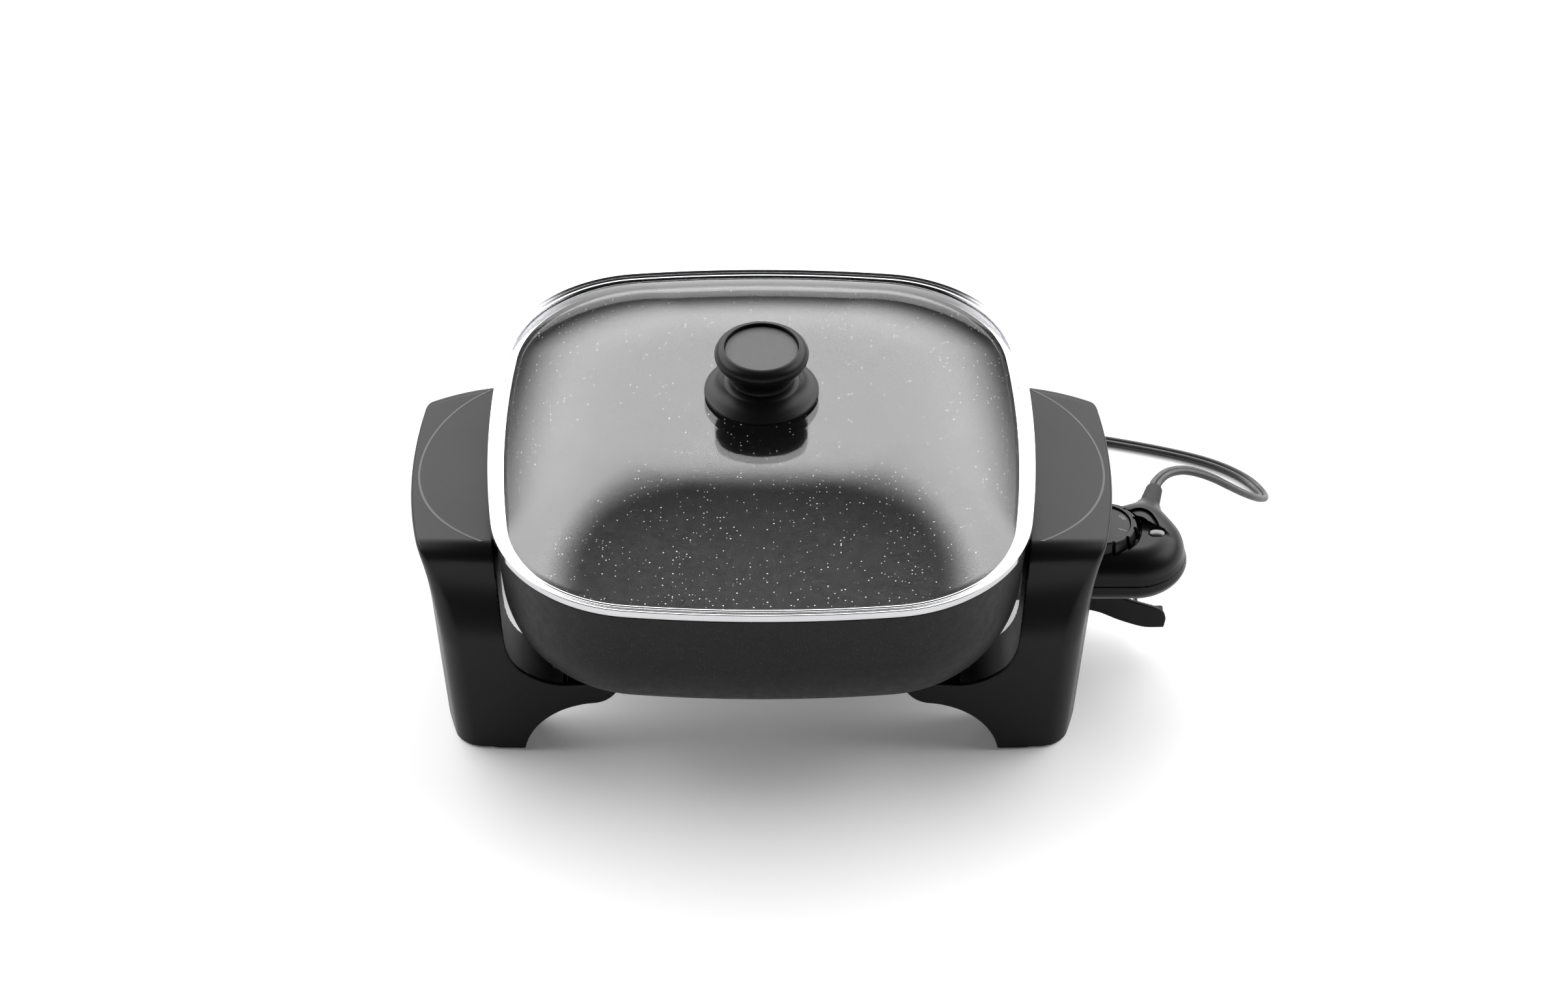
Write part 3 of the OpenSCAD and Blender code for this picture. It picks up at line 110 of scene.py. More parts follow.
# %% A finish, with helpers that bring it to life
class Finish:
    """A Principled material with helpers that add variation to it."""

    def __init__(self, name, **sockets):
        self.material = bpy.data.materials.new(name)
        self.material.use_nodes = True
        self.nodes = self.material.node_tree.nodes
        self.links = self.material.node_tree.links
        self.shader = self.nodes["Principled BSDF"]
        for socket, value in sockets.items():
            self.shader.inputs[socket.replace("_", " ")].default_value = value
        self.where = self.nodes.new("ShaderNodeTexCoord").outputs["Object"]
        self.height = None

    def node(self, kind, links=(), **values):
        """A node with its inputs typed in or linked: {input name or number: value or output}."""
        made = self.nodes.new("ShaderNode" + kind)
        for key, value in values.items():
            setattr(made, key, value)
        for key, value in dict(links).items():
            if isinstance(value, bpy.types.NodeSocket):
                self.links.new(value, made.inputs[key])
            else:
                made.inputs[key].default_value = value
        return made

    def noise(self, scale, detail=3.0):
        """Noise of so many lumps to the metre; detail adds finer layers to it."""
        return self.node("TexNoise", {"Vector": self.where, "Scale": scale, "Detail": detail,
                                      "Roughness": 0.5}).outputs["Fac"]

    def between(self, factor, low, high, start=0.3, end=0.7):
        """low where the factor is at start, high where it is at end."""
        return self.node("MapRange", {"Value": factor, "From Min": start, "From Max": end,
                                      "To Min": low, "To Max": high}).outputs["Result"]

    def maths(self, operation, first, second):
        """One step of arithmetic on outputs or numbers."""
        return self.node("Math", {0: first, 1: second}, operation=operation).outputs[0]

    def mixed(self, factor, first, second):
        """One colour turning into another."""
        made = self.node("Mix", {0: factor}, data_type="RGBA")
        for place, colour in ((6, first), (7, second)):
            if isinstance(colour, bpy.types.NodeSocket):
                self.links.new(colour, made.inputs[place])
            else:
                made.inputs[place].default_value = (*colour, 1)
        return made.outputs[2]

    def feed(self, socket, output):
        """Links an output to one of the shader's sockets."""
        self.links.new(output, self.shader.inputs[socket])

    def bump(self, height, depth):
        """Adds bumps: a height of 1 stands depth metres proud of a height of 0."""
        made = self.node("Bump", {"Height": height, "Strength": 1.0, "Distance": depth})
        if self.height:
            self.links.new(self.height, made.inputs["Normal"])
        self.height = made.outputs["Normal"]
        self.links.new(self.height, self.shader.inputs["Normal"])


def grey(value):
    return (value, value, value)


# %% [markdown]
# ## Finishes
# Black phenolic for the mouldings, a charcoal non-stick coat with light specks on the inside
# of the pan, and steel, glass, ceramic and brass for the rest. A speck lies in a cell of a
# Voronoi pattern, and only the cells with a high random number get one. The black mouldings
# have a low specular level, because the photograph shows their sides almost without sheen.

# %% Moulded plastic, and metal
def moulding(name, tone, shine, grain=0.00005, gleam=0.5):
    """Plastic of one grey: shine is its roughness, grain a height in metres."""
    made = Finish(name, Roughness=shine, Specular_IOR_Level=gleam)
    made.feed("Base Color", made.mixed(made.noise(12), grey(tone * 0.85), grey(tone * 1.2)))
    made.feed("Roughness", made.between(made.noise(22, 2), shine - 0.015, shine + 0.015))
    made.bump(made.noise(2600, 2), grain)
    return made


def metal(name, colour, shine):
    """Metal with fine unevenness in its tone and its polish."""
    made = Finish(name, Metallic=1.0, Roughness=shine)
    made.feed("Base Color", made.mixed(made.noise(60), colour, tuple(c * 0.86 for c in colour)))
    made.feed("Roughness", made.between(made.noise(200, 5), shine * 0.75, shine * 1.4))
    made.bump(made.noise(1500, 2), 0.00001)
    return made


# %% The pan's speckled coat
SPECK_CELLS = 500.0        # cells to the metre, so there is room for a speck every 2 mm
SPECK_WIDEST = 0.24        # the widest speck's radius, as a share of a cell
SPECK_CHANCE = (0.6, 1.0)  # the cells whose random number lies in here get a speck


def speckled_coat():
    """Fine grain all over, and light specks on the inside: where the coat faces the axis or up."""
    made = Finish("pan_coat", Roughness=0.42, Specular_IOR_Level=0.15)
    facing = made.nodes.new("ShaderNodeTexCoord").outputs["Normal"]
    level = made.node("VectorMath", {0: made.where, 1: (1, 1, 0)}, operation="MULTIPLY")
    outward = made.node("VectorMath", {0: level.outputs[0], 1: facing}, operation="DOT_PRODUCT")
    upward = made.node("SeparateXYZ", {0: facing}).outputs["Z"]
    inside = made.maths("MULTIPLY", made.between(outward.outputs["Value"], 1.0, 0.0, 0.03, 0.07),
                         made.between(upward, 0.0, 1.0, -0.5, -0.2))
    cells = made.node("TexVoronoi", {"Vector": made.where, "Scale": SPECK_CELLS})
    chance = made.node("SeparateColor", {0: cells.outputs["Color"]}).outputs[0]
    wide = made.between(chance, 0.0, SPECK_WIDEST, *SPECK_CHANCE)
    speck = made.maths("LESS_THAN", cells.outputs["Distance"], wide)
    shown = made.maths("MULTIPLY", speck, inside)
    ground = made.mixed(made.noise(30), grey(0.004), grey(0.008))
    grain = made.between(made.noise(1500, 1), 0.0, 0.7, 0.62, 0.8)
    ground = made.mixed(grain, ground, grey(0.05))
    made.feed("Base Color", made.mixed(shown, ground, grey(0.9)))
    made.feed("Roughness", made.between(made.noise(160, 5), 0.38, 0.5))
    made.bump(made.noise(1400, 2), 0.00006)
    return made


# %% [markdown]
# ## Glass and lens
# Real glass mirrors a few percent when it is looked at squarely, and much more at a low
# angle. A thin lid doesn't need to bend the light, so this one is a polished mirror that is
# almost see-through: its alpha rises with the fifth power of how far the surface turns
# away from the eye.

# %% Glass that mirrors by its angle, and the smoked lens
GLASS_SQUARE, GLASS_EDGE_ON = 0.036, 0.6     # how much it hides at the two angles
glass = Finish("lid_glass", Base_Color=(1, 1, 1, 1), Metallic=1.0, Roughness=0.08, Alpha=0.05)
turned_away = glass.node("LayerWeight", {"Blend": 0.5}).outputs["Facing"]
mirroring = glass.maths("POWER", turned_away, 5.0)
glass.feed("Alpha", glass.between(mirroring, GLASS_SQUARE, GLASS_EDGE_ON, 0.0, 1.0))
glass.feed("Roughness", glass.between(glass.noise(30), 0.06, 0.1))
lens = Finish("clear_lens", Base_Color=(0.1, 0.1, 0.1, 1), Roughness=0.05, IOR=1.5)
lens.bump(lens.noise(60, 1), 0.00002)

# %% The cord's vinyl
vinyl = Finish("cord_pvc", Base_Color=(0.012, 0.012, 0.013, 1), Roughness=0.42)
vinyl.feed("Base Color", vinyl.mixed(vinyl.noise(60), grey(0.010), grey(0.02)))
vinyl.feed("Roughness", vinyl.between(vinyl.noise(240), 0.36, 0.52))
vinyl.bump(vinyl.noise(900, 2), 0.00006)

# %% All finishes, and the CAD nodes get theirs
MOULDINGS = {              # tone, roughness, grain's height in metres, specular level
    "ceramic": (0.75, 0.4),
    "black_moulding": (0.004, 0.34, 0.00002, 0.155),
    "liner_moulding": (0.06, 0.5),
    "grey_inlay": (0.06, 0.4, 0.00002, 0.25),
    "rubber_black": (0.01, 0.6, 0.00005, 0.3),
    "knob_disc": (0.045, 0.5, 0.0003),
    "dial_plastic": (0.004, 0.32, 0.00003, 0.2),
    "white_print": (0.8, 0.5, 0.0),
}
METALS = {                 # colour, roughness
    "element_sheath": ((0.45, 0.44, 0.42), 0.45),
    "bright_steel": ((0.66, 0.66, 0.66), 0.32),
    "polished_steel": ((0.5, 0.5, 0.51), 0.08),
    "brass_parts": ((0.75, 0.6, 0.32), 0.3),
}
FINISHES = {"pan_coat": speckled_coat(), "lid_glass": glass, "clear_lens": lens, "cord_pvc": vinyl}
FINISHES.update({name: moulding(name, *values) for name, values in MOULDINGS.items()})
FINISHES.update({name: metal(name, *values) for name, values in METALS.items()})
for part in frame["record"]["subparts"]:
    node = frame["nodes"][part["node"]]
    node.data.materials.clear()
    node.data.materials.append(FINISHES[part["material_slot"]].material)
print(len(FINISHES), "finishes")

# %% [markdown]
# ## Making meshes
# Most pieces that go round the pan or an axis are swept: a section drawn as (out, height)
# is carried along a closed run of stations. A station is a centre, a radius and an angle,
# so a section point lies at centre + (radius + out) in the angle's direction. The lid's
# outline is four bowed sides and four corner arcs, and a lathe is only the case in which
# all stations share one centre. Normals are worked out from the section, weighted by
# length, so that small roundings catch a clean light line and flat stretches stay flat.

# %% Points, faces and normals become a piece
def weld(points, faces, normals):
    """Joins points that coincide and drops the faces that vanish by it."""
    points, normals = np.asarray(points, float), np.asarray(normals, float)
    keys, first, back = np.unique(np.round(points, 5), axis=0,
                                  return_index=True, return_inverse=True)
    summed = np.zeros((len(keys), 3))
    np.add.at(summed, back.ravel(), normals)
    kept = []
    for face in back.ravel()[np.asarray(faces)].tolist():
        corners = [c for i, c in enumerate(face) if c != face[i - 1]]
        if len(corners) > 2:
            kept.append(corners)
    return points[first], kept, summed


def spread_normals(points, faces):
    """Vertex normals as the sum of the normals of the quads around each vertex."""
    points, faces = np.asarray(points, float), np.asarray(faces)
    face_way = np.cross(points[faces[:, 2]] - points[faces[:, 0]],
                        points[faces[:, -1]] - points[faces[:, 1]])
    summed = np.zeros_like(points)
    for corner in range(faces.shape[1]):
        np.add.at(summed, faces[:, corner], face_way)
    return summed


def piece(name, shape, finish, body, replaces=()):
    """A smooth piece on a body of the model: shape holds points in mm, faces and normals.

    Its material is the finish of that name.
    """
    points, faces, normals = weld(*shape)
    mesh = bpy.data.meshes.new(name)
    mesh.from_pydata(metres(points).tolist(), [], faces)
    mesh.materials.append(FINISHES[finish].material)
    mesh.shade_smooth()
    size = np.linalg.norm(normals, axis=1, keepdims=True)
    mesh.normals_split_custom_set_from_vertices((normals / np.maximum(size, 1e-9)).tolist())
    made = bpy.data.objects.new(name, mesh)
    bpy.context.scene.collection.objects.link(made)
    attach(made, body)
    if replaces:
        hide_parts(*replaces)
    print(f"{name}: {len(points)} points, {len(faces)} faces")
    return made


# %% Sections with rounded corners, and their normals
def rounded(corners, closed=True, step=math.radians(11)):
    """Corners (out, height, radius) as a line whose corners are arcs of that radius."""
    line = []
    last = len(corners) - 1
    for i, (x, z, radius) in enumerate(corners):
        here = np.array((x, z), float)
        if radius <= 0 or (not closed and i in (0, last)):
            line.append(here)
            continue
        back = np.array(corners[i - 1][:2], float) - here
        ahead = np.array(corners[(i + 1) % len(corners)][:2], float) - here
        back, ahead = back / np.linalg.norm(back), ahead / np.linalg.norm(ahead)
        half = math.acos(max(-1.0, min(1.0, float(back @ ahead)))) / 2
        middle = here + (back + ahead) / np.linalg.norm(back + ahead) * radius / math.sin(half)
        first = here + back * radius / math.tan(half) - middle
        second = here + ahead * radius / math.tan(half) - middle
        turn = math.pi - 2 * half
        pieces = max(2, math.ceil(turn / step))
        for t in np.arange(pieces + 1) / pieces:
            line.append(middle + (first * math.sin((1 - t) * turn) + second * math.sin(t * turn))
                        / math.sin(turn))
    return np.array(line)


def section_normals(section, closed):
    """Outward normals of a section that runs up on its outer side, weighted by length."""
    if closed:
        ahead = np.roll(section, -1, axis=0) - section
        before = section - np.roll(section, 1, axis=0)
    else:
        steps = np.diff(section, axis=0)
        ahead, before = np.vstack([steps, steps[-1:]]), np.vstack([steps[:1], steps])
    run = ahead + before
    normals = np.stack([run[:, 1], -run[:, 0]], 1)
    return normals / np.maximum(np.linalg.norm(normals, axis=1, keepdims=True), 1e-9)


def arc(middle, radius, start, end, count):
    """Points of an arc, angles in degrees."""
    a = np.radians(np.linspace(start, end, count + 1))
    return np.stack([middle[0] + radius * np.cos(a), middle[1] + radius * np.sin(a)], 1)


def smooth_run(points, steps):
    """A Catmull-Rom curve through the points."""
    p = np.asarray(points, float)
    run = []
    for i in range(len(p) - 1):
        a, b, c, d = p[max(i - 1, 0)], p[i], p[i + 1], p[min(i + 2, len(p) - 1)]
        for t in np.arange(steps) / steps:
            run.append(0.5 * (2 * b + (c - a) * t + (2 * a - 5 * b + 4 * c - d) * t ** 2
                              + (3 * b - a - 3 * c + d) * t ** 3))
    return np.array(run + [p[-1]])


# %% Stations round the lid's outline, and round an axis
LID_HALF_W, LID_HALF_D, SIDE_BOW, CORNER_R = 160, 161, 18, 88


def outline_stations(per_side=20, per_corner=40):
    """(centre x, centre y, radius, angle) once round the lid's outline."""
    side_r = (LID_HALF_D ** 2 + SIDE_BOW ** 2) / (2 * SIDE_BOW)
    end_r = (LID_HALF_W ** 2 + SIDE_BOW ** 2) / (2 * SIDE_BOW)
    side_c, end_c = np.array((LID_HALF_W - side_r, 0)), np.array((0, LID_HALF_D - end_r))
    link = end_c - side_c
    length = np.linalg.norm(link)
    along = ((side_r - CORNER_R) ** 2 - (end_r - CORNER_R) ** 2 + length ** 2) / (2 * length)
    aside = math.sqrt((side_r - CORNER_R) ** 2 - along ** 2)
    corner_c = side_c + along * link / length + aside * np.array((-link[1], link[0])) / length
    side_a = math.atan2(corner_c[1], corner_c[0] - side_c[0])
    end_a = math.atan2(corner_c[1] - end_c[1], corner_c[0])
    quarter = [(*side_c, side_r, a) for a in np.linspace(0, side_a, per_side)]
    quarter += [(*corner_c, CORNER_R, a) for a in np.linspace(side_a, end_a, per_corner)]
    quarter += [(*end_c, end_r, a) for a in np.linspace(end_a, math.pi / 2, per_side)]
    quarter = np.array(quarter)
    second = quarter[::-1] * (-1, 1, 1, -1) + (0, 0, 0, math.pi)
    half = np.vstack([quarter, second])
    return np.vstack([half, half * (-1, -1, 1, 1) + (0, 0, 0, math.pi)])


def axis_stations(x, y, count=96):
    """All stations on one axis, which turns a sweep into a lathe."""
    return np.array([(x, y, 0, a) for a in np.linspace(0, 2 * math.pi, count + 1)])


def grid_quads(rows, columns, closed=False, flip=False):
    """Quads between rows of points: closed joins a row's end to its start, flip turns them."""
    i, j = np.meshgrid(np.arange(rows - 1), np.arange(columns if closed else columns - 1),
                       indexing="ij")
    k = (j + 1) % columns
    quads = np.stack([i * columns + j, (i + 1) * columns + j,
                      (i + 1) * columns + k, i * columns + k], -1).reshape(-1, 4)
    return quads[:, [0, 3, 2, 1]] if flip else quads


def sweep(section, stations, closed=True):
    """Points, quads and normals of a section carried once round the stations."""
    section = np.asarray(section, float)
    if closed:
        x, z = section.T
        if (x * np.roll(z, -1) - z * np.roll(x, -1)).sum() < 0:
            section = section[::-1]
    slant = section_normals(section, closed)
    way = np.stack([np.cos(stations[:, 3]), np.sin(stations[:, 3])], 1)
    flat = stations[:, None, :2] + way[:, None] * (stations[:, None, 2:3] + section[None, :, :1])
    height = np.broadcast_to(section[:, 1:], (len(way), len(section), 1))
    tilt = way[:, None] * slant[None, :, :1]
    rise = np.broadcast_to(slant[:, 1:], height.shape)
    points = np.concatenate([flat, height], -1).reshape(-1, 3)
    normals = np.concatenate([tilt, rise], -1).reshape(-1, 3)
    return points, grid_quads(len(way), len(section), closed), normals


def together(*parts):
    """Several meshes as one."""
    points, faces, normals, count = [], [], [], 0
    for some_points, some_faces, some_normals in parts:
        points.append(some_points)
        normals.append(some_normals)
        faces += (np.asarray(some_faces) + count).tolist()
        count += len(some_points)
    return np.vstack(points), faces, np.vstack(normals)


OUTLINE = outline_stations()


def outline_at(out):
    """The outline seen from above, moved outwards by so many mm."""
    way = np.stack([np.cos(OUTLINE[:, 3]), np.sin(OUTLINE[:, 3])], 1)
    return OUTLINE[:, :2] + way * (OUTLINE[:, 2:3] + out)


print(f"outline: {len(OUTLINE)} stations")

# %% [markdown]
# ## Moulded shapes as distance fields
# A moulded side frame flows from grip to leg with soft edges that change radius along the
# way. Such a shape is awkward to build from patches, but easy to describe: for any point,
# how far is it outside the front face, the crown, the outer wall? The largest of these
# distances is the shape, and a rounded maximum gives each edge its own radius. The
# surface is then found on a grid of cells, one vertex to a cell, and every vertex is
# slid onto the exact surface. The field's slope gives perfect normals.

# %% From a distance field to a mesh
def round_max(a, b, radius):
    """The larger of two distances, with a rounded edge of this radius."""
    return np.minimum(np.maximum(a, b), -radius) + np.hypot(np.maximum(a + radius, 0),
                                                            np.maximum(b + radius, 0))


def round_min(a, b, radius):
    """The smaller of two distances, with a fillet of this radius."""
    return -round_max(-a, -b, radius)


def slope(field, points, reach=0.02):
    """The field's gradient at each point."""
    found = np.empty_like(points)
    for axis in range(3):
        step = np.zeros(3)
        step[axis] = reach
        found[:, axis] = (field(*(points + step).T) - field(*(points - step).T)) / (2 * reach)
    return found


def mould(field, low, high, cell, slides=4):
    """The surface where the field is nought: points, quads and normals."""
    axes = [np.arange(a - cell, b + 2 * cell, cell) for a, b in zip(low, high)]
    value = field(*np.meshgrid(*axes, indexing="ij"))
    inside = value < 0
    corners = [(i, j, k) for i in (0, 1) for j in (0, 1) for k in (0, 1)]
    size = [n - 1 for n in value.shape]

    def at(grid, corner):
        return grid[tuple(slice(c, c + n) for c, n in zip(corner, size))]

    filled = sum(at(inside, c).astype(np.int8) for c in corners)
    active = np.argwhere((filled > 0) & (filled < 8))
    number = np.full(size, -1)
    number[tuple(active.T)] = np.arange(len(active))
    total, hits = np.zeros((len(active), 3)), np.zeros((len(active), 1))
    for first in corners:
        for axis in range(3):
            if first[axis]:
                continue
            second = tuple(c + (n == axis) for n, c in enumerate(first))
            a = value[tuple((active + first).T)]
            b = value[tuple((active + second).T)]
            crossed = (a < 0) != (b < 0)
            share = np.where(crossed, a / np.where(crossed, a - b, 1), 0)
            place = np.array(first, float) + share[:, None] * (np.arange(3) == axis)
            total += np.where(crossed[:, None], place, 0)
            hits += crossed[:, None]
    start = np.array([a[0] for a in axes])
    points = start + (active + total / hits) * cell
    for _ in range(slides):
        ramp = slope(field, points)
        steep = np.maximum((ramp ** 2).sum(1, keepdims=True), 0.05)
        move = field(*points.T)[:, None] * ramp / steep
        far = np.linalg.norm(move, axis=1, keepdims=True)
        points = points - move * np.minimum(1, 0.5 * cell / np.maximum(far, 1e-9))
    quads = []
    for axis in range(3):
        one, two = [n for n in range(3) if n != axis]
        before = inside[tuple(slice(0, -1) if n == axis else slice(1, -1) for n in range(3))]
        after = inside[tuple(slice(1, None) if n == axis else slice(1, -1) for n in range(3))]
        for flip in (False, True):
            edge = np.argwhere((before & ~after) if flip else (~before & after))
            edge = edge + [0 if n == axis else 1 for n in range(3)]
            around = []
            for a, b in ((0, 0), (1, 0), (1, 1), (0, 1)):
                cellule = edge.copy()
                cellule[:, one] -= a
                cellule[:, two] -= b
                around.append(number[tuple(cellule.T)])
            ring = np.stack(around, 1)
            quads.append(ring if flip == (axis != 1) else ring[:, ::-1])
    normals = slope(field, points)
    return points, np.vstack(quads), normals


def mirrored(points, faces, normals):
    """The same mesh on the other side of the pan."""
    return points * (-1, 1, 1), np.asarray(faces)[:, ::-1], normals * (-1, 1, 1)


# %% [markdown]
# ## The pan
# A pan like this is die cast in one go: drafted walls so that it leaves the mould, a large
# round between wall and floor, and a flat edge underneath that once stood on the machined
# face. One section swept round the outline gives all of that. The rim's two edges are
# rounded, since the lid's ring sits on it.

# %% The pan's shell
RIM_Z, PAN_Z, PAN_IN, WALL_T, DRAFT = 154, 58, 2.2, 3.8, math.radians(5.3)
OUTER_R, INNER_R, FLOOR_Z, FLOOR_T = 62, 45, 73, 4.6
UNDER_Z = FLOOR_Z - FLOOR_T
LAND_IN, LAND_TOP_IN = 6, 9        # the flat edge underneath ends here, and its slope here
RIM_ROUND, RIM_FLARE = 1.3, 0.4
MIDDLE_IN = 84                     # the section ends here, and fans close the middle
FAN_SHARES = (1, 0.6, 0.2, 0)


def round_centre(inset, height, radius):
    """Where the centre of a base rounding lies under a drafted wall that starts at the rim."""
    return -(inset + math.tan(DRAFT) * (RIM_Z - height) + radius / math.cos(DRAFT)), height


def middle_fan(section_point, up):
    """Closes the middle at one height with a fan round the outline."""
    out, z = section_point
    ring = outline_at(out)
    points = np.vstack([np.column_stack([ring * share, np.full(len(ring), z)])
                        for share in FAN_SHARES])
    quads = grid_quads(len(FAN_SHARES), len(ring), flip=True)
    normals = np.tile((0, 0, 1 if up else -1), (len(points), 1))
    return points, quads if up else quads[:, ::-1], normals


outer_c = round_centre(PAN_IN, PAN_Z + OUTER_R, OUTER_R)
inner_c = round_centre(PAN_IN + WALL_T, FLOOR_Z + INNER_R, INNER_R)
turn = math.degrees(DRAFT)
base_edge = rounded([(-MIDDLE_IN, UNDER_Z, 0), (outer_c[0] - LAND_TOP_IN, UNDER_Z, 1.5),
                     (outer_c[0] - LAND_IN, PAN_Z, 1.2), (outer_c[0], PAN_Z, 0)], closed=False)
rim = rounded([(-PAN_IN - RIM_FLARE, RIM_Z - 4, 0), (-PAN_IN, RIM_Z, RIM_ROUND),
               (-PAN_IN - WALL_T, RIM_Z, RIM_ROUND),
               (-PAN_IN - WALL_T - RIM_FLARE, RIM_Z - 4, 0)], closed=False)
pan_section = np.vstack([base_edge[:-1], arc(outer_c, OUTER_R, -90, -turn, 30), rim,
                         arc(inner_c, INNER_R, -turn, -90, 26), [(-MIDDLE_IN, FLOOR_Z)]])
shell = together(sweep(pan_section, OUTLINE, closed=False),
                 middle_fan(pan_section[0], False), middle_fan(pan_section[-1], True))
piece("pan_shell", shell, "pan_coat", "base", ["pan"])

# %% [markdown]
# ## Under the pan
# The heating element is cast into a ring-shaped ridge under the floor, and its two ends and
# the probe's rod leave through a thick lug on the right. Ridge, lug and the four bosses for
# the frames belong to the same casting, so they meet each other in soft fillets.

# %% Ridge, lug and bosses
LUG_X, LUG_HALF_W, LUG_TOP, LUG_STEP = 132, 36, 77.4, 6
ROD_Z, ROD_HOLE_R, ROD_END = 66, 3.1, 80
ELEMENT_RING, ELEMENT_HOLE_R, RIDGE_HALF_W, RIDGE_Z = 72, 4.1, 6.5, 63
PIN_Y, BUSH_HOLE_R, BUSH_END, ELBOW_R = 17, 5.1, 121, 14
GUARD_HALF_W, GUARD_Z0, GUARD_Z1 = 26.4, 57, 77.05
BOSS_X, BOSS_Y, BOSS_R, BOSS_Z = 108, 80, 8, 54
SUNK_Z = UNDER_Z + 1.5             # the ridge and the lug end here, inside the pan's floor
ELBOW_X = math.sqrt((ELEMENT_RING + ELBOW_R) ** 2 - (PIN_Y + ELBOW_R) ** 2)


def block(x, y, z, low, high):
    """How far a point is outside a box."""
    return np.maximum.reduce([low[0] - x, x - high[0], low[1] - y, y - high[1],
                              low[2] - z, z - high[2]])


def underside_field(x, y, z):
    """Ridge, lug and bosses, less the holes for the element, its pins and the rod."""
    ay, from_axis = np.abs(y), np.hypot(x, y)
    from_pin = np.hypot(ay - PIN_Y, z - ROD_Z)
    from_boss = np.hypot(np.abs(x) - BOSS_X, ay - BOSS_Y)
    top = np.where(x > LUG_X - LUG_STEP, z - LUG_TOP, z - SUNK_Z)
    ridge = round_max(np.abs(from_axis - ELEMENT_RING) - RIDGE_HALF_W, RIDGE_Z - z, 2)
    lug = round_max(np.maximum(ELBOW_X - LUG_STEP - x, x - LUG_X), ay - LUG_HALF_W, 3)
    lug = np.maximum(round_max(lug, PAN_Z - z, 1.5), top)
    tunnel = round_max(np.maximum(74 - x, x - ELBOW_X), np.maximum(ay - 6, ROD_Z - 6 - z), 2)
    boss = np.maximum(round_max(from_boss - BOSS_R, BOSS_Z - z, 0.6), z - 64)
    cast_on = np.maximum(round_min(ridge, tunnel, 2), z - SUNK_Z)
    solid = np.maximum(np.minimum(round_min(cast_on, lug, 3), boss), top)
    guard = block(x, y, z, (LUG_X, -GUARD_HALF_W, GUARD_Z0), (2 * LUG_X, GUARD_HALF_W, GUARD_Z1))
    pins = np.maximum(from_pin - ELEMENT_HOLE_R, ELBOW_X - x)
    element = np.hypot(from_axis - ELEMENT_RING, z - ROD_Z) - ELEMENT_HOLE_R
    rod = np.maximum(np.hypot(y, z - ROD_Z) - ROD_HOLE_R, ROD_END - x)
    bushes = np.maximum(from_pin - BUSH_HOLE_R, BUSH_END - x)
    screws = np.maximum(from_boss - 2, z - 65)
    return np.maximum(solid, -np.minimum.reduce([pins, element, rod, bushes, guard, screws]))


underside = mould(underside_field, (-118, -90, 52), (134, 90, 80), 1.2)
piece("pan_underside", underside, "pan_coat", "base", ["pan"])

# %% [markdown]
# ## The lid's steel ring
# The ring is rolled from a narrow strip. Its outer wall stands upright, its top slopes down
# towards the glass, and next to the glass there is a shallow groove and a small bead. The
# slope mirrors the dark above the skillet and the bead catches the light behind it, which
# is what makes a thin bright line run round the lid.

# %% Ring
RING_Z0, RING_Z1 = RIM_Z + 0.3, RIM_Z + 6.0
ring_top = [(0, 0.3, 0.5), (-0.9, 0.3, 0.3), (-2.2, -0.1, 0.15), (-2.5, -0.5, 0.15),
            (-2.8, -0.3, 0.15), (-4.4, -0.8, 0.2), (-4.8, -0.8, 0.15), (-5.2, -0.3, 0.3),
            (-5.9, -0.3, 0.3), (-6.4, -1.1, 0), (-2.6, -1.1, 0)]
ring_foot = [(-2.6, 0.9, 0), (-9.4, 0.9, 0.2), (-9.4, -3.3, 0.2), (-8.5, -3.3, 0.2),
             (-8.5, 0, 0.3), (-1.7, 0, 0.2), (-1.7, 1.9, 0.3)]
ring_section = rounded([(0, RING_Z0 + 1.9, 0.3)]
                       + [(out, RING_Z1 + up, radius) for out, up, radius in ring_top]
                       + [(out, RING_Z0 + up, radius) for out, up, radius in ring_foot])
piece("lid_ring_rolled", sweep(ring_section, OUTLINE), "polished_steel", "lid", ["lid_ring"])

# %% [markdown]
# ## The glass dome
# The glass is bent from a flat sheet: it keeps one thickness and has no corner anywhere.
# Each ring of its mesh is a smaller copy of the outline and lies on one circle seen from
# the side, so that the dome runs into its flat top without an edge. In the middle the
# rings turn into circles round the knob's screw.

# %% Glass
GLASS_T, GLASS_TOP, GLASS_EDGE_Z, GLASS_EDGE_IN = 3.6, 193, RING_Z0 + 0.95, 2.8
DOME_IN, DOME_FLAT = 6.8, 106          # the dome rises between these two insets
SCREW_HOLE_R = 3
dome_run, dome_up = DOME_FLAT - DOME_IN, GLASS_TOP - GLASS_EDGE_Z - GLASS_T
DOME_R = (dome_run ** 2 + dome_up ** 2) / (2 * dome_up)


def dome_ring(inset, thickness):
    """One ring of the dome, a smaller copy of the outline, turning round near the middle."""
    edge = outline_at(-min(inset, DOME_IN))
    share = (LID_HALF_W - max(inset, DOME_IN)) / (LID_HALF_W - DOME_IN)
    round_part = min(max((0.5 - share) / 0.4, 0), 1)
    size = np.linalg.norm(edge, axis=1, keepdims=True)
    flat = edge * share * (1 - round_part) + edge / size * (LID_HALF_W - inset) * round_part
    away = min(max(DOME_FLAT - inset, 0), dome_run)
    top = GLASS_TOP - DOME_R + math.sqrt((DOME_R - thickness) ** 2 - away ** 2)
    height = max(top, GLASS_EDGE_Z + GLASS_T - thickness)
    return np.column_stack([flat, np.full(len(flat), height)])


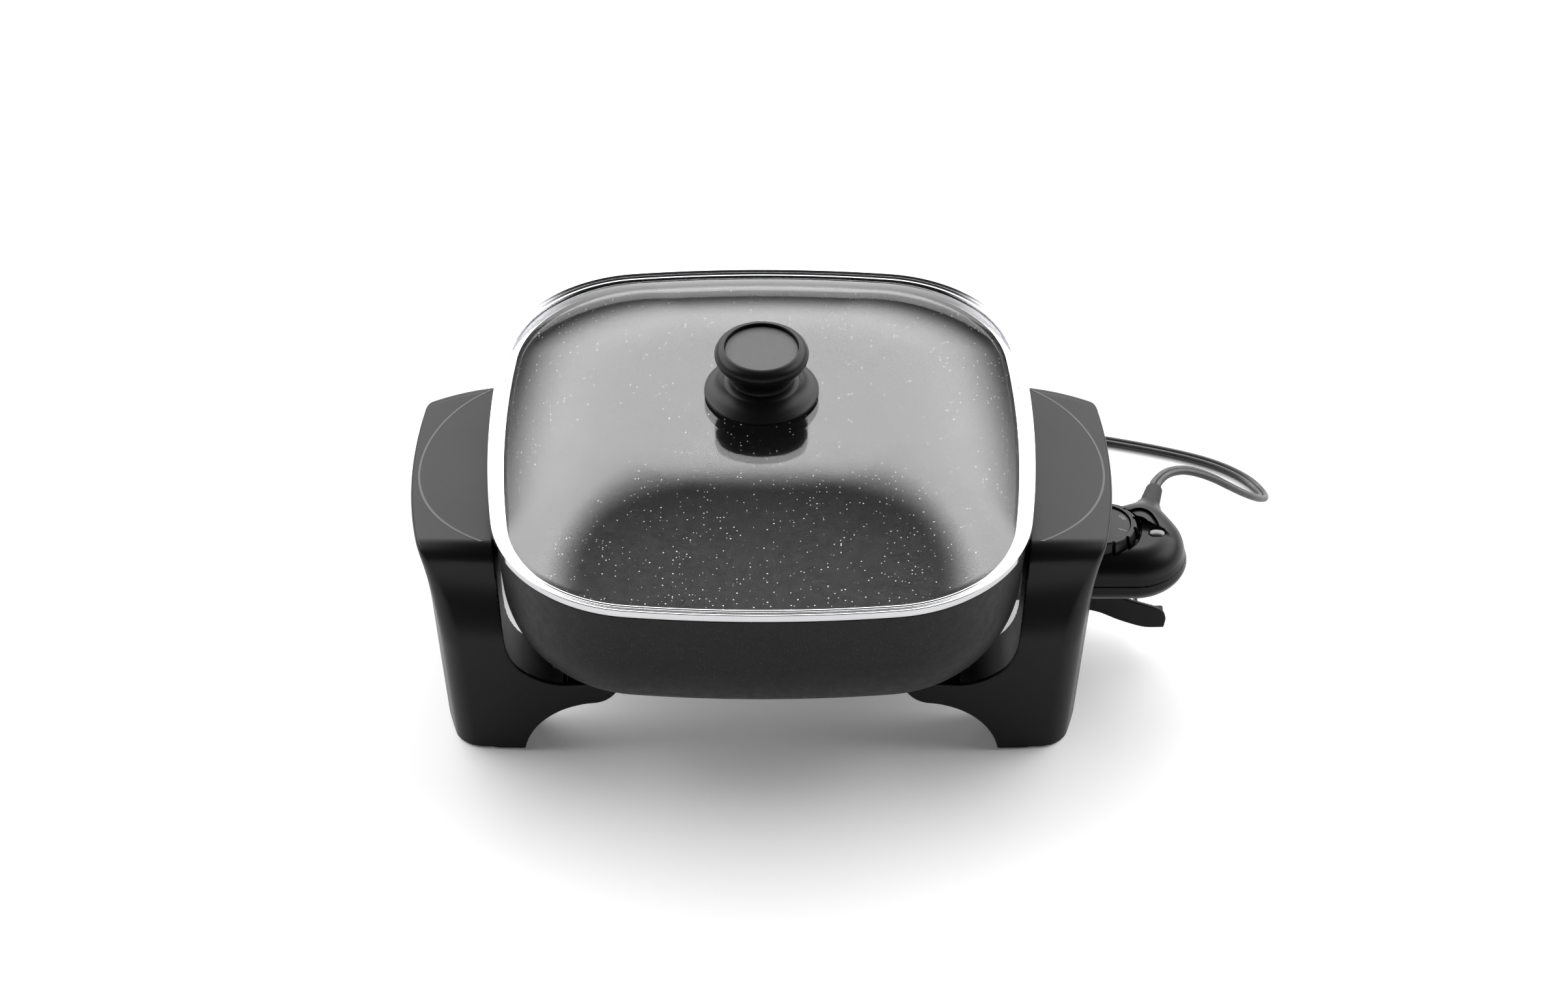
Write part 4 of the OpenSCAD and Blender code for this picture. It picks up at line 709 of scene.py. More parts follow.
insets = np.concatenate([[GLASS_EDGE_IN, 4, 5.4, DOME_IN], np.linspace(DOME_IN, DOME_FLAT, 48)[1:],
                         np.linspace(DOME_FLAT, LID_HALF_W - SCREW_HOLE_R, 26)[1:]])
rows = [dome_ring(i, 0) for i in insets] + [dome_ring(i, GLASS_T) for i in insets[::-1]]
rows.append(rows[0])
points, quads = np.vstack(rows), grid_quads(len(rows), len(OUTLINE), flip=True)
dome = (points, quads, spread_normals(points, quads))
piece("lid_glass_bent", dome, "lid_glass", "lid", ["lid_glass"])

# %% [markdown]
# ## The knob
# The knob comes in three turned pieces: a flared skirt that keeps fingers off the hot
# glass, the body with its rolled rim, and a coarse textured disc let into the top.

# %% Skirt, body and disc
KNOB_Z, SKIRT_H, SKIRT_R, NECK_R, KNOB_R, ROLL_R = 193.1, 11, 33.3, 19, 27.4, 5.5
SCREW_R, FLARE_R, CAP_R, CAP_H, CAP_SUNK = 2.7, 12.4, 21.5, 2, 4.1
AXIS = axis_stations(0, 0, 128)
flare_c = (SKIRT_R, 2.6 + FLARE_R)
skirt_section = np.vstack([
    rounded([(SCREW_R, 0, 0), (15, 0, 0.2), (15, 0.6, 0), (SKIRT_R, 0.6, 0.6),
             (SKIRT_R, 2.6, 0.7), (SKIRT_R - 2, 2.7, 0)], closed=False),
    arc(flare_c, FLARE_R, 258, 207, 14), [(NECK_R + 0.6, SKIRT_H), (SCREW_R, SKIRT_H)]])
skirt_section[:, 1] += KNOB_Z
piece("knob_skirt_turned", sweep(skirt_section, AXIS), "black_moulding", "lid", ["knob_skirt"])

BODY_Z, BODY_H = KNOB_Z + SKIRT_H, 22.4
CAP_Z = BODY_H - CAP_SUNK
roll_c = (KNOB_R - ROLL_R, BODY_H - ROLL_R)
body_section = np.vstack([
    rounded([(0, 7, 0), (2.5, 7, 0), (2.5, 0, 0), (NECK_R, 0, 0.3), (17.9, 3.7, 5),
             (26.1, 13.34, 0)], closed=False)[:-1],
    arc(roll_c, ROLL_R, -40.3, 84, 26),
    rounded([(22.2, BODY_H, 0), (CAP_R, BODY_H - 0.05, 0.6), (CAP_R, CAP_Z, 0.2),
             (0, CAP_Z, 0)], closed=False)[1:]])
body_section[:, 1] += BODY_Z
piece("knob_body_turned", sweep(body_section, AXIS), "black_moulding", "lid", ["knob_body"])

cap_section = rounded([(0, CAP_Z, 0), (CAP_R - 0.1, CAP_Z, 0.2),
                       (CAP_R - 0.1, CAP_Z + CAP_H, 0.5), (0, CAP_Z + CAP_H, 0)])
cap_section[:, 1] += BODY_Z
piece("knob_disc_textured", sweep(cap_section, AXIS), "knob_disc", "lid", ["knob_cap"])

# %% [markdown]
# ## The side frames
# Grip, legs and the arms under the pan are one hollow moulding. The field below names its
# faces one by one: bowed end faces that flare towards the feet, a crowned top, an outer
# wall that leans out at the grip, the edge that follows the pan, the arch under the arm
# and the gap between the legs. The inside is the same body again, a wall's thickness in.

# %% The frame's outside
GRIP_Y, FOOT_Y, GRIP_Z, EDGE_R, GRIP_X, FRAME_T = 82, 98, 138.6, 12, 207, 3
FLARE_LO, FLARE_HI, KNEE_Z, KNEE_X, FOOT_X = 75, GRIP_Z - EDGE_R, 88, 199.4, 192.4
END_BOW_R, END_BOW_X, WALL_BOW = 202, 128, 113      # how the end faces and the wall bulge
CROWN_R, CROWN_X = 213, 150
CROWN_EDGE = GRIP_Z - CROWN_R + math.sqrt(CROWN_R ** 2 - (GRIP_X - CROWN_X) ** 2)
LEAN = (KNEE_X - FOOT_X) / KNEE_Z
LEAN_MORE = (GRIP_X - KNEE_X - LEAN * (CROWN_EDGE - KNEE_Z)) / (CROWN_EDGE - KNEE_Z) ** 2


def frame_body(x, y, z):
    """The frame's outside skin, before anything is cut away."""
    way = np.clip((z - FLARE_LO) / (FLARE_HI - FLARE_LO), 0, 1)
    face_y = GRIP_Y + (FOOT_Y - GRIP_Y) * (1 + np.cos(np.pi * way)) / 2
    wall_x = FOOT_X + LEAN * z + LEAN_MORE * np.maximum(z - KNEE_Z, 0) ** 2
    face = np.hypot(x - END_BOW_X, np.abs(y) + END_BOW_R) - (END_BOW_R + face_y)
    crown = np.hypot(x - CROWN_X, z - (GRIP_Z - CROWN_R)) - CROWN_R
    wall = np.hypot(x + WALL_BOW, y) - (wall_x + WALL_BOW)
    edge = 9 - 6.5 * np.clip((z - 100) / 32, 0, 1)     # the upright edges are sharper at the grip
    return round_max(round_max(face, crown, EDGE_R), wall, edge)


# %% What is cut away from it
SWEEP_R, SWEEP_C, SWEEP_TILT, ARM_Z, BAY_X = 32, (119.4, 83.4), math.radians(10.5), 51.4, 160
ARCH_X, ARCH_Z, ARCH_R, ARM_TIP_R = 98.34, -6, 41.5, 15.9
LEG_GAP_Y, LEG_GAP_Z, LEG_GAP_R = 63, 104, 18
LEG_IN_Y = LEG_GAP_Y + 1           # a little inside the leg's inner face
LINER_ROOM, LINER_X = 4.05, 116
FOOT_X0, FOOT_PEG, FOOT_PEG_R = 139.9, (158, 81), 4.1


def pan_side(x, z):
    """The bay in which the pan stands."""
    end_x = SWEEP_C[0] + SWEEP_R * math.cos(SWEEP_TILT)
    end_z = SWEEP_C[1] - SWEEP_R * math.sin(SWEEP_TILT)
    slant = (x - end_x) * math.cos(SWEEP_TILT) - (z - end_z) * math.sin(SWEEP_TILT)
    return round_max(round_max(ARM_Z - z, slant, SWEEP_R), x - BAY_X, 20)


def leg_gap(y, z):
    """The opening between the two legs."""
    return round_max(np.abs(y) - LEG_GAP_Y, z - LEG_GAP_Z, LEG_GAP_R)


def frame_field(x, y, z):
    """A frame on the right: its outside less bay, arch and gap, hollow, with bosses inside."""
    ay, body, bay = np.abs(y), frame_body(x, y, z), pan_side(x, z)
    inner, rib_face = body + FRAME_T, body + FRAME_T / 2
    from_boss = np.hypot(x - BOSS_X, ay - BOSS_Y)
    arch = np.where(x >= ARCH_X, ARCH_R - np.hypot(x - ARCH_X, z - ARCH_Z),
                    np.hypot(x - ARCH_X, z - ARM_Z) - ARM_TIP_R)
    skin = round_max(round_max(body, -bay, 1.0), arch, 1.5)
    skin = round_max(round_max(skin, -leg_gap(y, z), 1.2), 1 - z, 0.6)
    rooms = np.minimum.reduce([66 - ay, np.maximum(107 - z, ay - 67), np.maximum(99 - z, ay - 45)])
    hollow = np.maximum.reduce([inner, rooms, np.minimum(z - 48.4, 114 - x)])
    liner_seat = np.maximum.reduce([inner, bay - LINER_ROOM, LINER_X - x])
    solid = np.maximum(skin, -np.minimum(hollow, liner_seat))
    boss = np.maximum(from_boss - 7, np.maximum(42.4 - z, z - ARM_Z))
    foot = np.maximum.reduce([rib_face, 4 - z, z - 7, FOOT_X0 - x, LEG_IN_Y - ay])
    ledge = np.maximum.reduce([rib_face, 44.35 - z, z - 47.35, 110 - x, x - 126,
                               LEG_IN_Y - ay, ay - 93])
    solid = np.minimum.reduce([solid, boss, foot, ledge])
    screw = np.maximum(from_boss - 2.2, 30 - z)
    peg = np.maximum(np.hypot(x - FOOT_PEG[0], ay - FOOT_PEG[1]) - FOOT_PEG_R, z - 9)
    return np.maximum(solid, -np.minimum(screw, peg))


right_frame = mould(frame_field, (82, -99, 0), (208, 99, 139), 1.25)
piece("right_frame_moulded", right_frame, "black_moulding", "base", ["right_frame"])
piece("left_frame_moulded", mirrored(*right_frame), "black_moulding", "base", ["left_frame"])

# %% [markdown]
# ## The liners
# A thin cover follows the pan a little way inside each frame and closes its hollow side.
# From the front it shows as a lighter band between the pan and the black frame.

# %% Liners
LINER_BAND = (1.2, 3.7)            # how far behind the bay's wall its two faces lie
LINER_SCREW, LINER_SCREW_R = (121, 80), 1.45


def liner_field(x, y, z):
    bay, body = pan_side(x, z), frame_body(x, y, z)
    band = round_max(LINER_BAND[0] - bay, bay - LINER_BAND[1], 0.4)
    holes = np.hypot(x - LINER_SCREW[0], np.abs(y) - LINER_SCREW[1]) - LINER_SCREW_R
    band = np.maximum(np.maximum(band, -np.maximum(holes, z - 56)), -leg_gap(y, z))
    return np.maximum(round_max(band, body + FRAME_T + 0.35, 0.4), LINER_X - x)


right_liner = mould(liner_field, (115, -97, 45), (166, 97, 138), 0.95)
for name, liner, node in (("right_liner_moulded", right_liner, "right_liner"),
                          ("left_liner_moulded", mirrored(*right_liner), "left_liner")):
    piece(name, liner, "liner_moulding", "base", [node])

# %% [markdown]
# ## The probe's housing
# The housing is one soft pebble with a neck that flows out of it towards the cord. Two
# distance fields, pebble and cone, melt together with a generous fillet. It is moulded as
# a top and a bottom shell, so the same field is cut at the parting line.

# %% The pebble and its neck
HOUSE_X0, HOUSE_X, HOUSE_Z0, HOUSE_Z1, HOUSE_T, HOUSE_R = 168, 221, 56, 88, 2.2, 33
NECK_FROM, NECK_A = np.array((227, 16, 74)), math.radians(15)
NECK_L, NECK_R0, NECK_R1, NECK_FILLET = 22.5, 15, 7.6, 7
NECK_WAY = np.array((math.sin(NECK_A), math.cos(NECK_A), 0))
NECK_END = NECK_FROM + NECK_L * NECK_WAY


def along_neck(x, y, z, start):
    """How far along the neck's axis a point lies, and how far from it."""
    run = (x - start[0]) * NECK_WAY[0] + (y - start[1]) * NECK_WAY[1]
    side = np.hypot(x - start[0] - run * NECK_WAY[0], y - start[1] - run * NECK_WAY[1])
    return run, np.hypot(side, z - start[2])


def housing(x, y, z):
    """The outside skin of the whole housing."""
    across = np.where(x > HOUSE_X, np.hypot(x - HOUSE_X, y), np.abs(y))
    side = across - HOUSE_R + 2 * np.clip((z - 66) / 8, 0, 1)
    pebble = round_max(round_max(side, HOUSE_Z0 - z, 12), z - HOUSE_Z1, 15)
    pebble = round_max(pebble, HOUSE_X0 - x, 0.8)
    run, off = along_neck(x, y, z, NECK_FROM)
    neck = round_max(off - NECK_R0 + (NECK_R0 - NECK_R1) * run / NECK_L, run - NECK_L, 0.8)
    neck = np.maximum(neck, -10 - run)
    return round_min(pebble, neck, NECK_FILLET)


# %% Its two shells
SPLIT_Z, DIAL_X, SEAT_Z, DIAL_R, DIAL_H, FACE_R = 70, 203.2, 83.4, 22, 9.7, 16
SPINDLE_HOLE_R, LAMP, LENS_HALF_L = 3.06, (235, -2.7), 1.9
PIVOT, EAR_Y, EAR_HALF_T, EAR_R = (182, 49), 10.85, 1.5, 4
POSTS = ((179, 20), (243, 13))
MOUTH = ((160, -24.4, 57.2), (172.5, 24.4, 74.8))


def from_lens(x, y):
    """How far a point is from the middle line of the lamp's oval."""
    return np.hypot(np.maximum(np.abs(x - LAMP[0]) - LENS_HALF_L, 0), y - LAMP[1])


def top_shell(x, y, z, solid, skin):
    """The dial's seat and bearing come in, its opening and the lamp's go out."""
    from_dial = np.hypot(x - DIAL_X, y)
    seat = np.maximum.reduce([from_dial - DIAL_R - 2.5, z - SEAT_Z, SEAT_Z - 2 - z, skin + 0.2])
    bearing = np.maximum.reduce([from_dial - 6, z - SEAT_Z, SEAT_Z - 8 - z])
    solid = np.minimum.reduce([solid, seat, bearing])
    well = np.maximum(from_dial - DIAL_R - 0.6, SEAT_Z - z)
    window = np.maximum(from_lens(x, y) - 3.1, 82 - z)
    cuts = np.minimum.reduce([well, from_dial - SPINDLE_HOLE_R, window])
    return round_max(np.maximum(solid, SPLIT_Z + 0.1 - z), -cuts, 0.5)


def bottom_shell(x, y, z, solid, skin):
    """The lever's two ears and the posts of the shell's screws."""
    from_pivot = np.hypot(x - PIVOT[0], z - PIVOT[1])
    arm = np.maximum.reduce([np.abs(x - PIVOT[0]) - EAR_R, PIVOT[1] - z, z - 57.5])
    ear = np.maximum(np.abs(np.abs(y) - EAR_Y) - EAR_HALF_T, np.minimum(from_pivot - EAR_R, arm))
    solid = np.maximum(np.minimum(solid, ear), z - SPLIT_Z)
    solid = np.maximum(solid, 1.5 - from_pivot)
    for post_x, post_y in POSTS:
        from_post = np.hypot(x - post_x, np.abs(y) - post_y)
        post = np.maximum.reduce([from_post - 3.5, z - SPLIT_Z, skin + 1])
        hole = np.minimum(from_post - 1.5, np.maximum(from_post - 2.8, z - 59))
        solid = np.maximum(np.minimum(solid, post), -hole)
    return solid


def half_shell(half):
    """The field of one shell, open at the terminals and where the cord's sleeve goes in."""
    def field(x, y, z):
        skin = housing(x, y, z)
        solid = half(x, y, z, np.maximum(skin, -(skin + HOUSE_T)), skin)
        run, off = along_neck(x, y, z, NECK_END)
        sleeve_room = np.maximum(off - 6.7, -9 - run)
        return np.maximum(solid, -np.minimum(block(x, y, z, *MOUTH), sleeve_room))
    return field


for name, node, half, low, high in (
        ("probe_top_moulded", "probe_top_shell", top_shell, (167, -34, 69.5), (255, 46, 89)),
        ("probe_bottom_moulded", "probe_bottom_shell", bottom_shell,
         (167, -34, 44), (255, 46, 71))):
    piece(name, mould(half_shell(half), low, high, 0.9), "black_moulding", "probe", [node])

# %% [markdown]
# ## The dial
# A low ring with twelve grips round its wall. Each grip falls back a little along its
# length and ends in a small step, so that wet fingers can turn it either way. Inside the
# ring a plain disc carries the temperatures.

# %% Dial ring and face
DIAL_Z, DIAL_GRIPS = SEAT_Z + 0.4, 12


def dial_field(x, y, z):
    """The ring: twelve grips that fall back, a slit at each, and a well for the face."""
    dx, h = x - DIAL_X, z - DIAL_Z
    radius, turn = np.hypot(dx, y), np.arctan2(y, dx)
    step = (turn * DIAL_GRIPS / (2 * np.pi) + 0.5) % 1
    cone = np.clip((h - 1.2) / (DIAL_H - 2.4), 0, 1)
    wall = DIAL_R - 1.8 * cone - 1.3 * step * np.clip((h - 1.6) / 0.6, 0, 1)
    solid = round_max(round_max(radius - wall, h - DIAL_H, 0.9), -h, 0.2)
    off_slit = np.minimum(step, 1 - step) * radius * 2 * np.pi / DIAL_GRIPS
    slit = np.maximum.reduce([off_slit - 0.7, DIAL_R - 3.8 - radius, 1.6 - h])
    well = np.minimum.reduce([np.maximum(radius - FACE_R, DIAL_H - 2.2 - h), radius - 3,
                              np.maximum(radius - 10, h - 1.5)])
    return round_max(solid, -np.minimum(slit, well), 0.35)


dial_low = (DIAL_X - DIAL_R - 0.5, -DIAL_R - 0.5, DIAL_Z - 0.3)
dial_high = (DIAL_X + DIAL_R + 0.5, DIAL_R + 0.5, DIAL_Z + DIAL_H + 0.3)
dial_ring = mould(dial_field, dial_low, dial_high, 0.42)
piece("dial_ring_moulded", dial_ring, "dial_plastic", "dial", ["dial_ring"])
FACE_Z, FACE_T, FACE_EDGE_R = DIAL_Z + DIAL_H - 1.0, 1.2, FACE_R - 0.1
face_section = rounded([(0, FACE_Z - FACE_T, 0), (FACE_EDGE_R, FACE_Z - FACE_T, 0.1),
                        (FACE_EDGE_R, FACE_Z, 0.35), (0, FACE_Z, 0)])
face = sweep(face_section, axis_stations(DIAL_X, 0, 96))
piece("dial_face_disc", face, "dial_plastic", "dial", ["dial_face"])

# %% [markdown]
# ## The dial's numbers
# The numbers are printed in white. Each numeral is drawn with a pen of constant width, as
# a few strokes, and then set round the disc with its foot towards the middle.

# %% Numerals as pen strokes
NUMERAL_H, NUMERAL_W, PEN = 2.3, 1.25, 0.17


def bow(cx, cy, rx, ry, start, end):
    """Part of an oval, angles in degrees, in a box one numeral wide and high."""
    a = np.radians(np.linspace(start, end, 9))
    return [(cx + rx * math.cos(t), cy + ry * math.sin(t)) for t in a]


STROKES = {
    "0": [bow(0.5, 0.5, 0.42, 0.5, 0, 360)],
    "2": [bow(0.5, 0.72, 0.42, 0.28, 165, -25) + [(0.1, 0.0), (0.95, 0.0)]],
    "3": [bow(0.46, 0.74, 0.38, 0.26, 150, -80) + bow(0.46, 0.25, 0.44, 0.27, 85, -155)],
    "4": [[(0.75, 0.0), (0.75, 1.0), (0.08, 0.3), (0.98, 0.3)]],
    "5": [[(0.85, 1.0), (0.2, 1.0), (0.14, 0.56)] + bow(0.46, 0.33, 0.44, 0.33, 130, -150)],
    "o": [bow(0.3, 0.82, 0.18, 0.16, 0, 360)],
}


def number_strokes(text, angle, radius):
    """Strokes of a number, set round the dial, in mm."""
    strokes = []
    for place, numeral in enumerate(text):
        for stroke in STROKES[numeral]:
            line = []
            for u, v in stroke:
                side = (place - len(text) / 2) * NUMERAL_W * 1.2 + u * NUMERAL_W
                turn = angle - side / radius
                reach = radius + v * NUMERAL_H
                line.append((DIAL_X + reach * math.cos(turn), reach * math.sin(turn)))
            strokes.append(np.array(line))
    return strokes


def ribbons(strokes, low, high):
    """A flat ribbon of the pen's width along each straight bit of each stroke."""
    points, faces = [], []
    for stroke in strokes:
        for a, b in zip(stroke[:-1], stroke[1:]):
            way = (b - a) / max(np.linalg.norm(b - a), 1e-6) * PEN / 2
            side = np.array((-way[1], way[0]))
            corners = [a - way - side, b + way - side, b + way + side, a - way + side]
            first = len(points)
            points += [(*c, low) for c in corners] + [(*c, high) for c in corners]
            faces += [[first + n for n in quad] for quad in (
                (4, 5, 6, 7), (3, 2, 1, 0), (0, 1, 5, 4), (1, 2, 6, 5), (2, 3, 7, 6), (3, 0, 4, 7))]
    return np.array(points), faces


FIRST_NUMBER, NEXT_NUMBER, NUMBERS_R = 25, 52, 12.0        # degrees, degrees, mm
POINTER_A, POINTER_FROM, POINTER_TO = -0.45, 9.6, 14.6     # radians, mm, mm
strokes = []
for step, text in enumerate(("200o", "250o", "300o", "350o", "400o")):
    strokes += number_strokes(text, math.radians(FIRST_NUMBER + NEXT_NUMBER * step), NUMBERS_R)
strokes.append(np.array([(DIAL_X + reach * math.cos(POINTER_A), reach * math.sin(POINTER_A))
                         for reach in (POINTER_FROM, POINTER_TO)]))
points, faces = ribbons(strokes, FACE_Z - 0.05, FACE_Z + 0.04)
print_on_dial = (points, faces, spread_normals(points, faces))
piece("dial_numbers", print_on_dial, "white_print", "dial", ())

# %% [markdown]
# ## Lens and strain relief
# The lamp's lens is a small oval pillow of smoked plastic that stands just proud of the
# housing. The rubber sleeve round the cord is turned: a slight taper and a soft end.

# %% Lens, sleeve
PILLOW_R, PILLOW_Z = 12.9, 76


def lens_field(x, y, z):
    oval = from_lens(x, y) - 3
    pillow = np.sqrt((x - LAMP[0]) ** 2 + (y - LAMP[1]) ** 2 + (z - PILLOW_Z) ** 2) - PILLOW_R
    return round_max(round_max(oval, pillow, 0.9), 82.4 - z, 0.3)


lamp_lens = mould(lens_field, (229, -7, 82), (241, 2, 89.5), 0.3)
piece("indicator_lens_pillow", lamp_lens, "clear_lens", "probe", ["indicator_lens"])


def turned(section, start, way):
    """A lathe about any level axis: the section is (radius, distance along)."""
    points, quads, normals = sweep(section, axis_stations(0, 0, 64))
    side = np.array((way[1], -way[0], 0))
    turn = np.array((side, (0, 0, 1), way))
    if np.linalg.det(turn) < 0:
        quads = quads[:, ::-1]
    return np.asarray(start) + points @ turn, quads, normals @ turn


sleeve_section = rounded([(0, -8, 0), (6.6, -8, 0.2), (6.6, -4.6, 0.3), (6.3, 0.6, 3),
                          (5.0, 18, 1.6), (0, 18, 0)])
sleeve = turned(sleeve_section, NECK_END, NECK_WAY)
piece("strain_relief_sleeve", sleeve, "rubber_black", "probe", ["strain_relief"])

# %% [markdown]
# ## The release lever
# Squeezing this lever against the housing pushes the probe off its pins. It is a broad
# front wall with a web along its lower edge, hollow from behind, like most moulded levers:
# the same thickness everywhere, so that it cools without sinking in.

# %% Lever
LEVER_TOP = [(2, 3.4), (16, 1.3), (27, -3.4), (39, -9.4), (50, -13.4), (56, -15.8),
             (59.6, -19.4), (61, -24)]
LEVER_LOW = [(60, -30.4), (51, -30.6), (44, -29.2), (32, -24.4), (21, -18.8), (11, -15.6),
             (2, -11), (-3, -4.6)]
LEVER_END = [(-4, 0), (-2, 3.6)]
LEVER_HALF_W, LEVER_WALL, BARREL_R, PIN_HOLE_R = 9, 2.4, 4.2, 1.56
SPRING_ROOM, SPRING_ROOM_R = 4.2, 4.6
LEVER_RIBS = (14.8, 28.8, 42.8)


def from_line(x, z, line):
    """Distance from a line of points and, where it is closed, whether a point is inside."""
    nearest, winding = np.full(np.shape(x), 1e9), np.zeros(np.shape(x), bool)
    for (ax, az), (bx, bz) in zip(line[:-1], line[1:]):
        dx, dz = bx - ax, bz - az
        t = np.clip(((x - ax) * dx + (z - az) * dz) / (dx * dx + dz * dz), 0, 1)
        nearest = np.minimum(nearest, np.hypot(x - ax - t * dx, z - az - t * dz))
        crosses = ((az > z) != (bz > z)) & (x < ax + (z - az) * dx / (dz if dz else 1e-9))
        winding ^= crosses
    return nearest, winding


lever_edge = smooth_run(LEVER_TOP, 5).tolist() + smooth_run(LEVER_LOW + LEVER_END, 5).tolist()
lever_edge.append(lever_edge[0])
lever_low_edge = smooth_run(LEVER_LOW, 5).tolist()


def lever_field(x, y, z):
    """The lever's side view given a width, hollow from behind, with ribs and a barrel."""
    lx, lz, ends = x - PIVOT[0], z - PIVOT[1], np.abs(y) - LEVER_HALF_W
    from_pivot = np.hypot(lx, lz)
    off, inside = from_line(lx, lz, lever_edge)
    side = round_max(np.where(inside, -off, off), ends, 0.9)
    low = from_line(lx, lz, lever_low_edge)[0]
    ribs = np.minimum.reduce([np.abs(lx - at) - 0.8 for at in LEVER_RIBS])
    hollow = np.maximum.reduce([-6.4 - y, LEVER_WALL - low, -ribs])
    barrel = np.maximum(from_pivot - BARREL_R, ends)
    solid = np.minimum(np.maximum(side, -hollow), barrel)
    spring = np.maximum(from_pivot - SPRING_ROOM_R, np.abs(y) - SPRING_ROOM)
    return np.maximum(solid, -np.minimum(from_pivot - PIN_HOLE_R, spring))


lever = mould(lever_field, (177, -9.5, 17.5), (244, 9.5, 54), 0.75)
piece("release_lever_moulded", lever, "black_moulding", "lever", ["release_lever"])

# %% [markdown]
# ## The mains cord
# A flat twin lead leaves the probe's strain relief to the back right, falls to the table,
# runs behind the skillet and ends in a small coil and its plug. The whole length is one
# mesh, a figure of eight swept along one smooth route, because a real lead has no joints.
# The route's points are the ones that the CAD model uses.

# %% The cord's route
CORD_W, CORD_T = 7.4, 4.0                   # mm over both cores, and through one
CORD_START = NECK_END + 16.8 * NECK_WAY
CORD_POINTS = [
    (239, 60.8, 74), (244.4, 69.6, 73), (251.2, 76.2, 70.6), (259, 81, 67),
    (268, 84.6, 61.6), (277, 88, 54.6), (286, 92, 46), (295, 97.4, 36.4),
    (303, 104.6, 26.8), (309, 114, 17.6), (312, 125, 9.6), (311, 137, 4.4),
    (305.6, 148.4, 2.5), (296, 158, 2.3), (284, 166, 2.3), (270, 172.6, 2.3),
    (254, 178.4, 2.3), (236, 184, 2.3), (216, 189.4, 2.3), (194, 194.6, 2.3),
    (170, 199.4, 2.3), (146, 203.4, 2.4), (124, 206.4, 2.7)]
COIL_MIDDLE, COIL_R, COIL_Z, COIL_TURNS = (90, 160), 48, 3, 2
TURN_STEP, LAYER_UP = CORD_W + 0.5, CORD_T + 0.6
COIL_IN = np.array((COIL_MIDDLE[0] + CORD_W, COIL_MIDDLE[1] + COIL_R, COIL_Z))
COIL_OUT = np.array((COIL_MIDDLE[0] - CORD_W, COIL_MIDDLE[1] + COIL_R, COIL_Z + LAYER_UP))
PLUG_REAR = np.array((COIL_MIDDLE[0] - 34, COIL_MIDDLE[1] + COIL_R + 1, 8))


def coil_point(turn):
    """The coil's centreline: one turn inwards, then over it and out again."""
    radius = COIL_R - TURN_STEP * min(turn, COIL_TURNS - turn)
    rise = min(max((turn - COIL_TURNS / 2 + 0.25) / 0.5, 0), 1)
    angle = math.pi / 2 + 2 * math.pi * turn
    return (COIL_MIDDLE[0] + radius * math.cos(angle), COIL_MIDDLE[1] + radius * math.sin(angle),
            COIL_Z + LAYER_UP * rise * rise * (3 - 2 * rise))


lead_in = smooth_run([CORD_START, *CORD_POINTS, COIL_IN + (6, 0, 0), COIL_IN], 4)
coil = np.array([coil_point(turn) for turn in np.linspace(0, COIL_TURNS, 97)])
tail = smooth_run([COIL_OUT, COIL_OUT + (-8, 0, 0.1), PLUG_REAR + (8, 0, 0), PLUG_REAR], 4)
CORD_ROUTE = np.vstack([lead_in, coil, tail])

# %% A twin section swept along the route
def twin_section(count=20):
    """Two round cores side by side, with their outward normals."""
    core, spacing = CORD_T / 2, (CORD_W - CORD_T) / 2
    across, up, out = [], [], []
    waist = math.acos(min(spacing / core, 1)) * 0.92
    for side in (1, -1):
        for a in np.linspace(-math.pi + waist, math.pi - waist, count // 2):
            across.append(side * (spacing + core * math.cos(a)))
            up.append(side * core * math.sin(a))
            out.append((side * math.cos(a), side * math.sin(a)))
    return np.array(across), np.array(up), np.array(out)


def sweep_along(route, across, up, out):
    """Carries a flat section along a route, with its wide side kept level."""
    forward = np.gradient(route, axis=0)
    forward /= np.linalg.norm(forward, axis=1, keepdims=True)
    sideways = np.cross(forward, (0, 0, 1))
    sideways /= np.linalg.norm(sideways, axis=1, keepdims=True)
    upwards = np.cross(sideways, forward)
    points = route[:, None] + sideways[:, None] * across[:, None] + upwards[:, None] * up[:, None]
    normals = sideways[:, None] * out[:, :1] + upwards[:, None] * out[:, 1:]
    quads = grid_quads(len(route), len(across), closed=True)
    return points.reshape(-1, 3), quads, normals.reshape(-1, 3)


cord = piece("mains_cord", sweep_along(CORD_ROUTE, *twin_section()), "cord_pvc", "probe",
             ("supply_cord", "cord_coil", "cord_tail"))

# %% [markdown]
# ## Floor and light
# The photograph is a cut-out on white with a soft shadow. Its gloss tells where the light
# stood: the glass and the tops are bright towards the back, and the ring mirrors a dark
# ceiling. So the surround has one wide softbox behind the skillet, which reaches round its
# sides and fades out near the horizon and overhead. A weak glow of the floor itself stands
# for the white sheet under a cut-out, and keeps the shadow from going black.

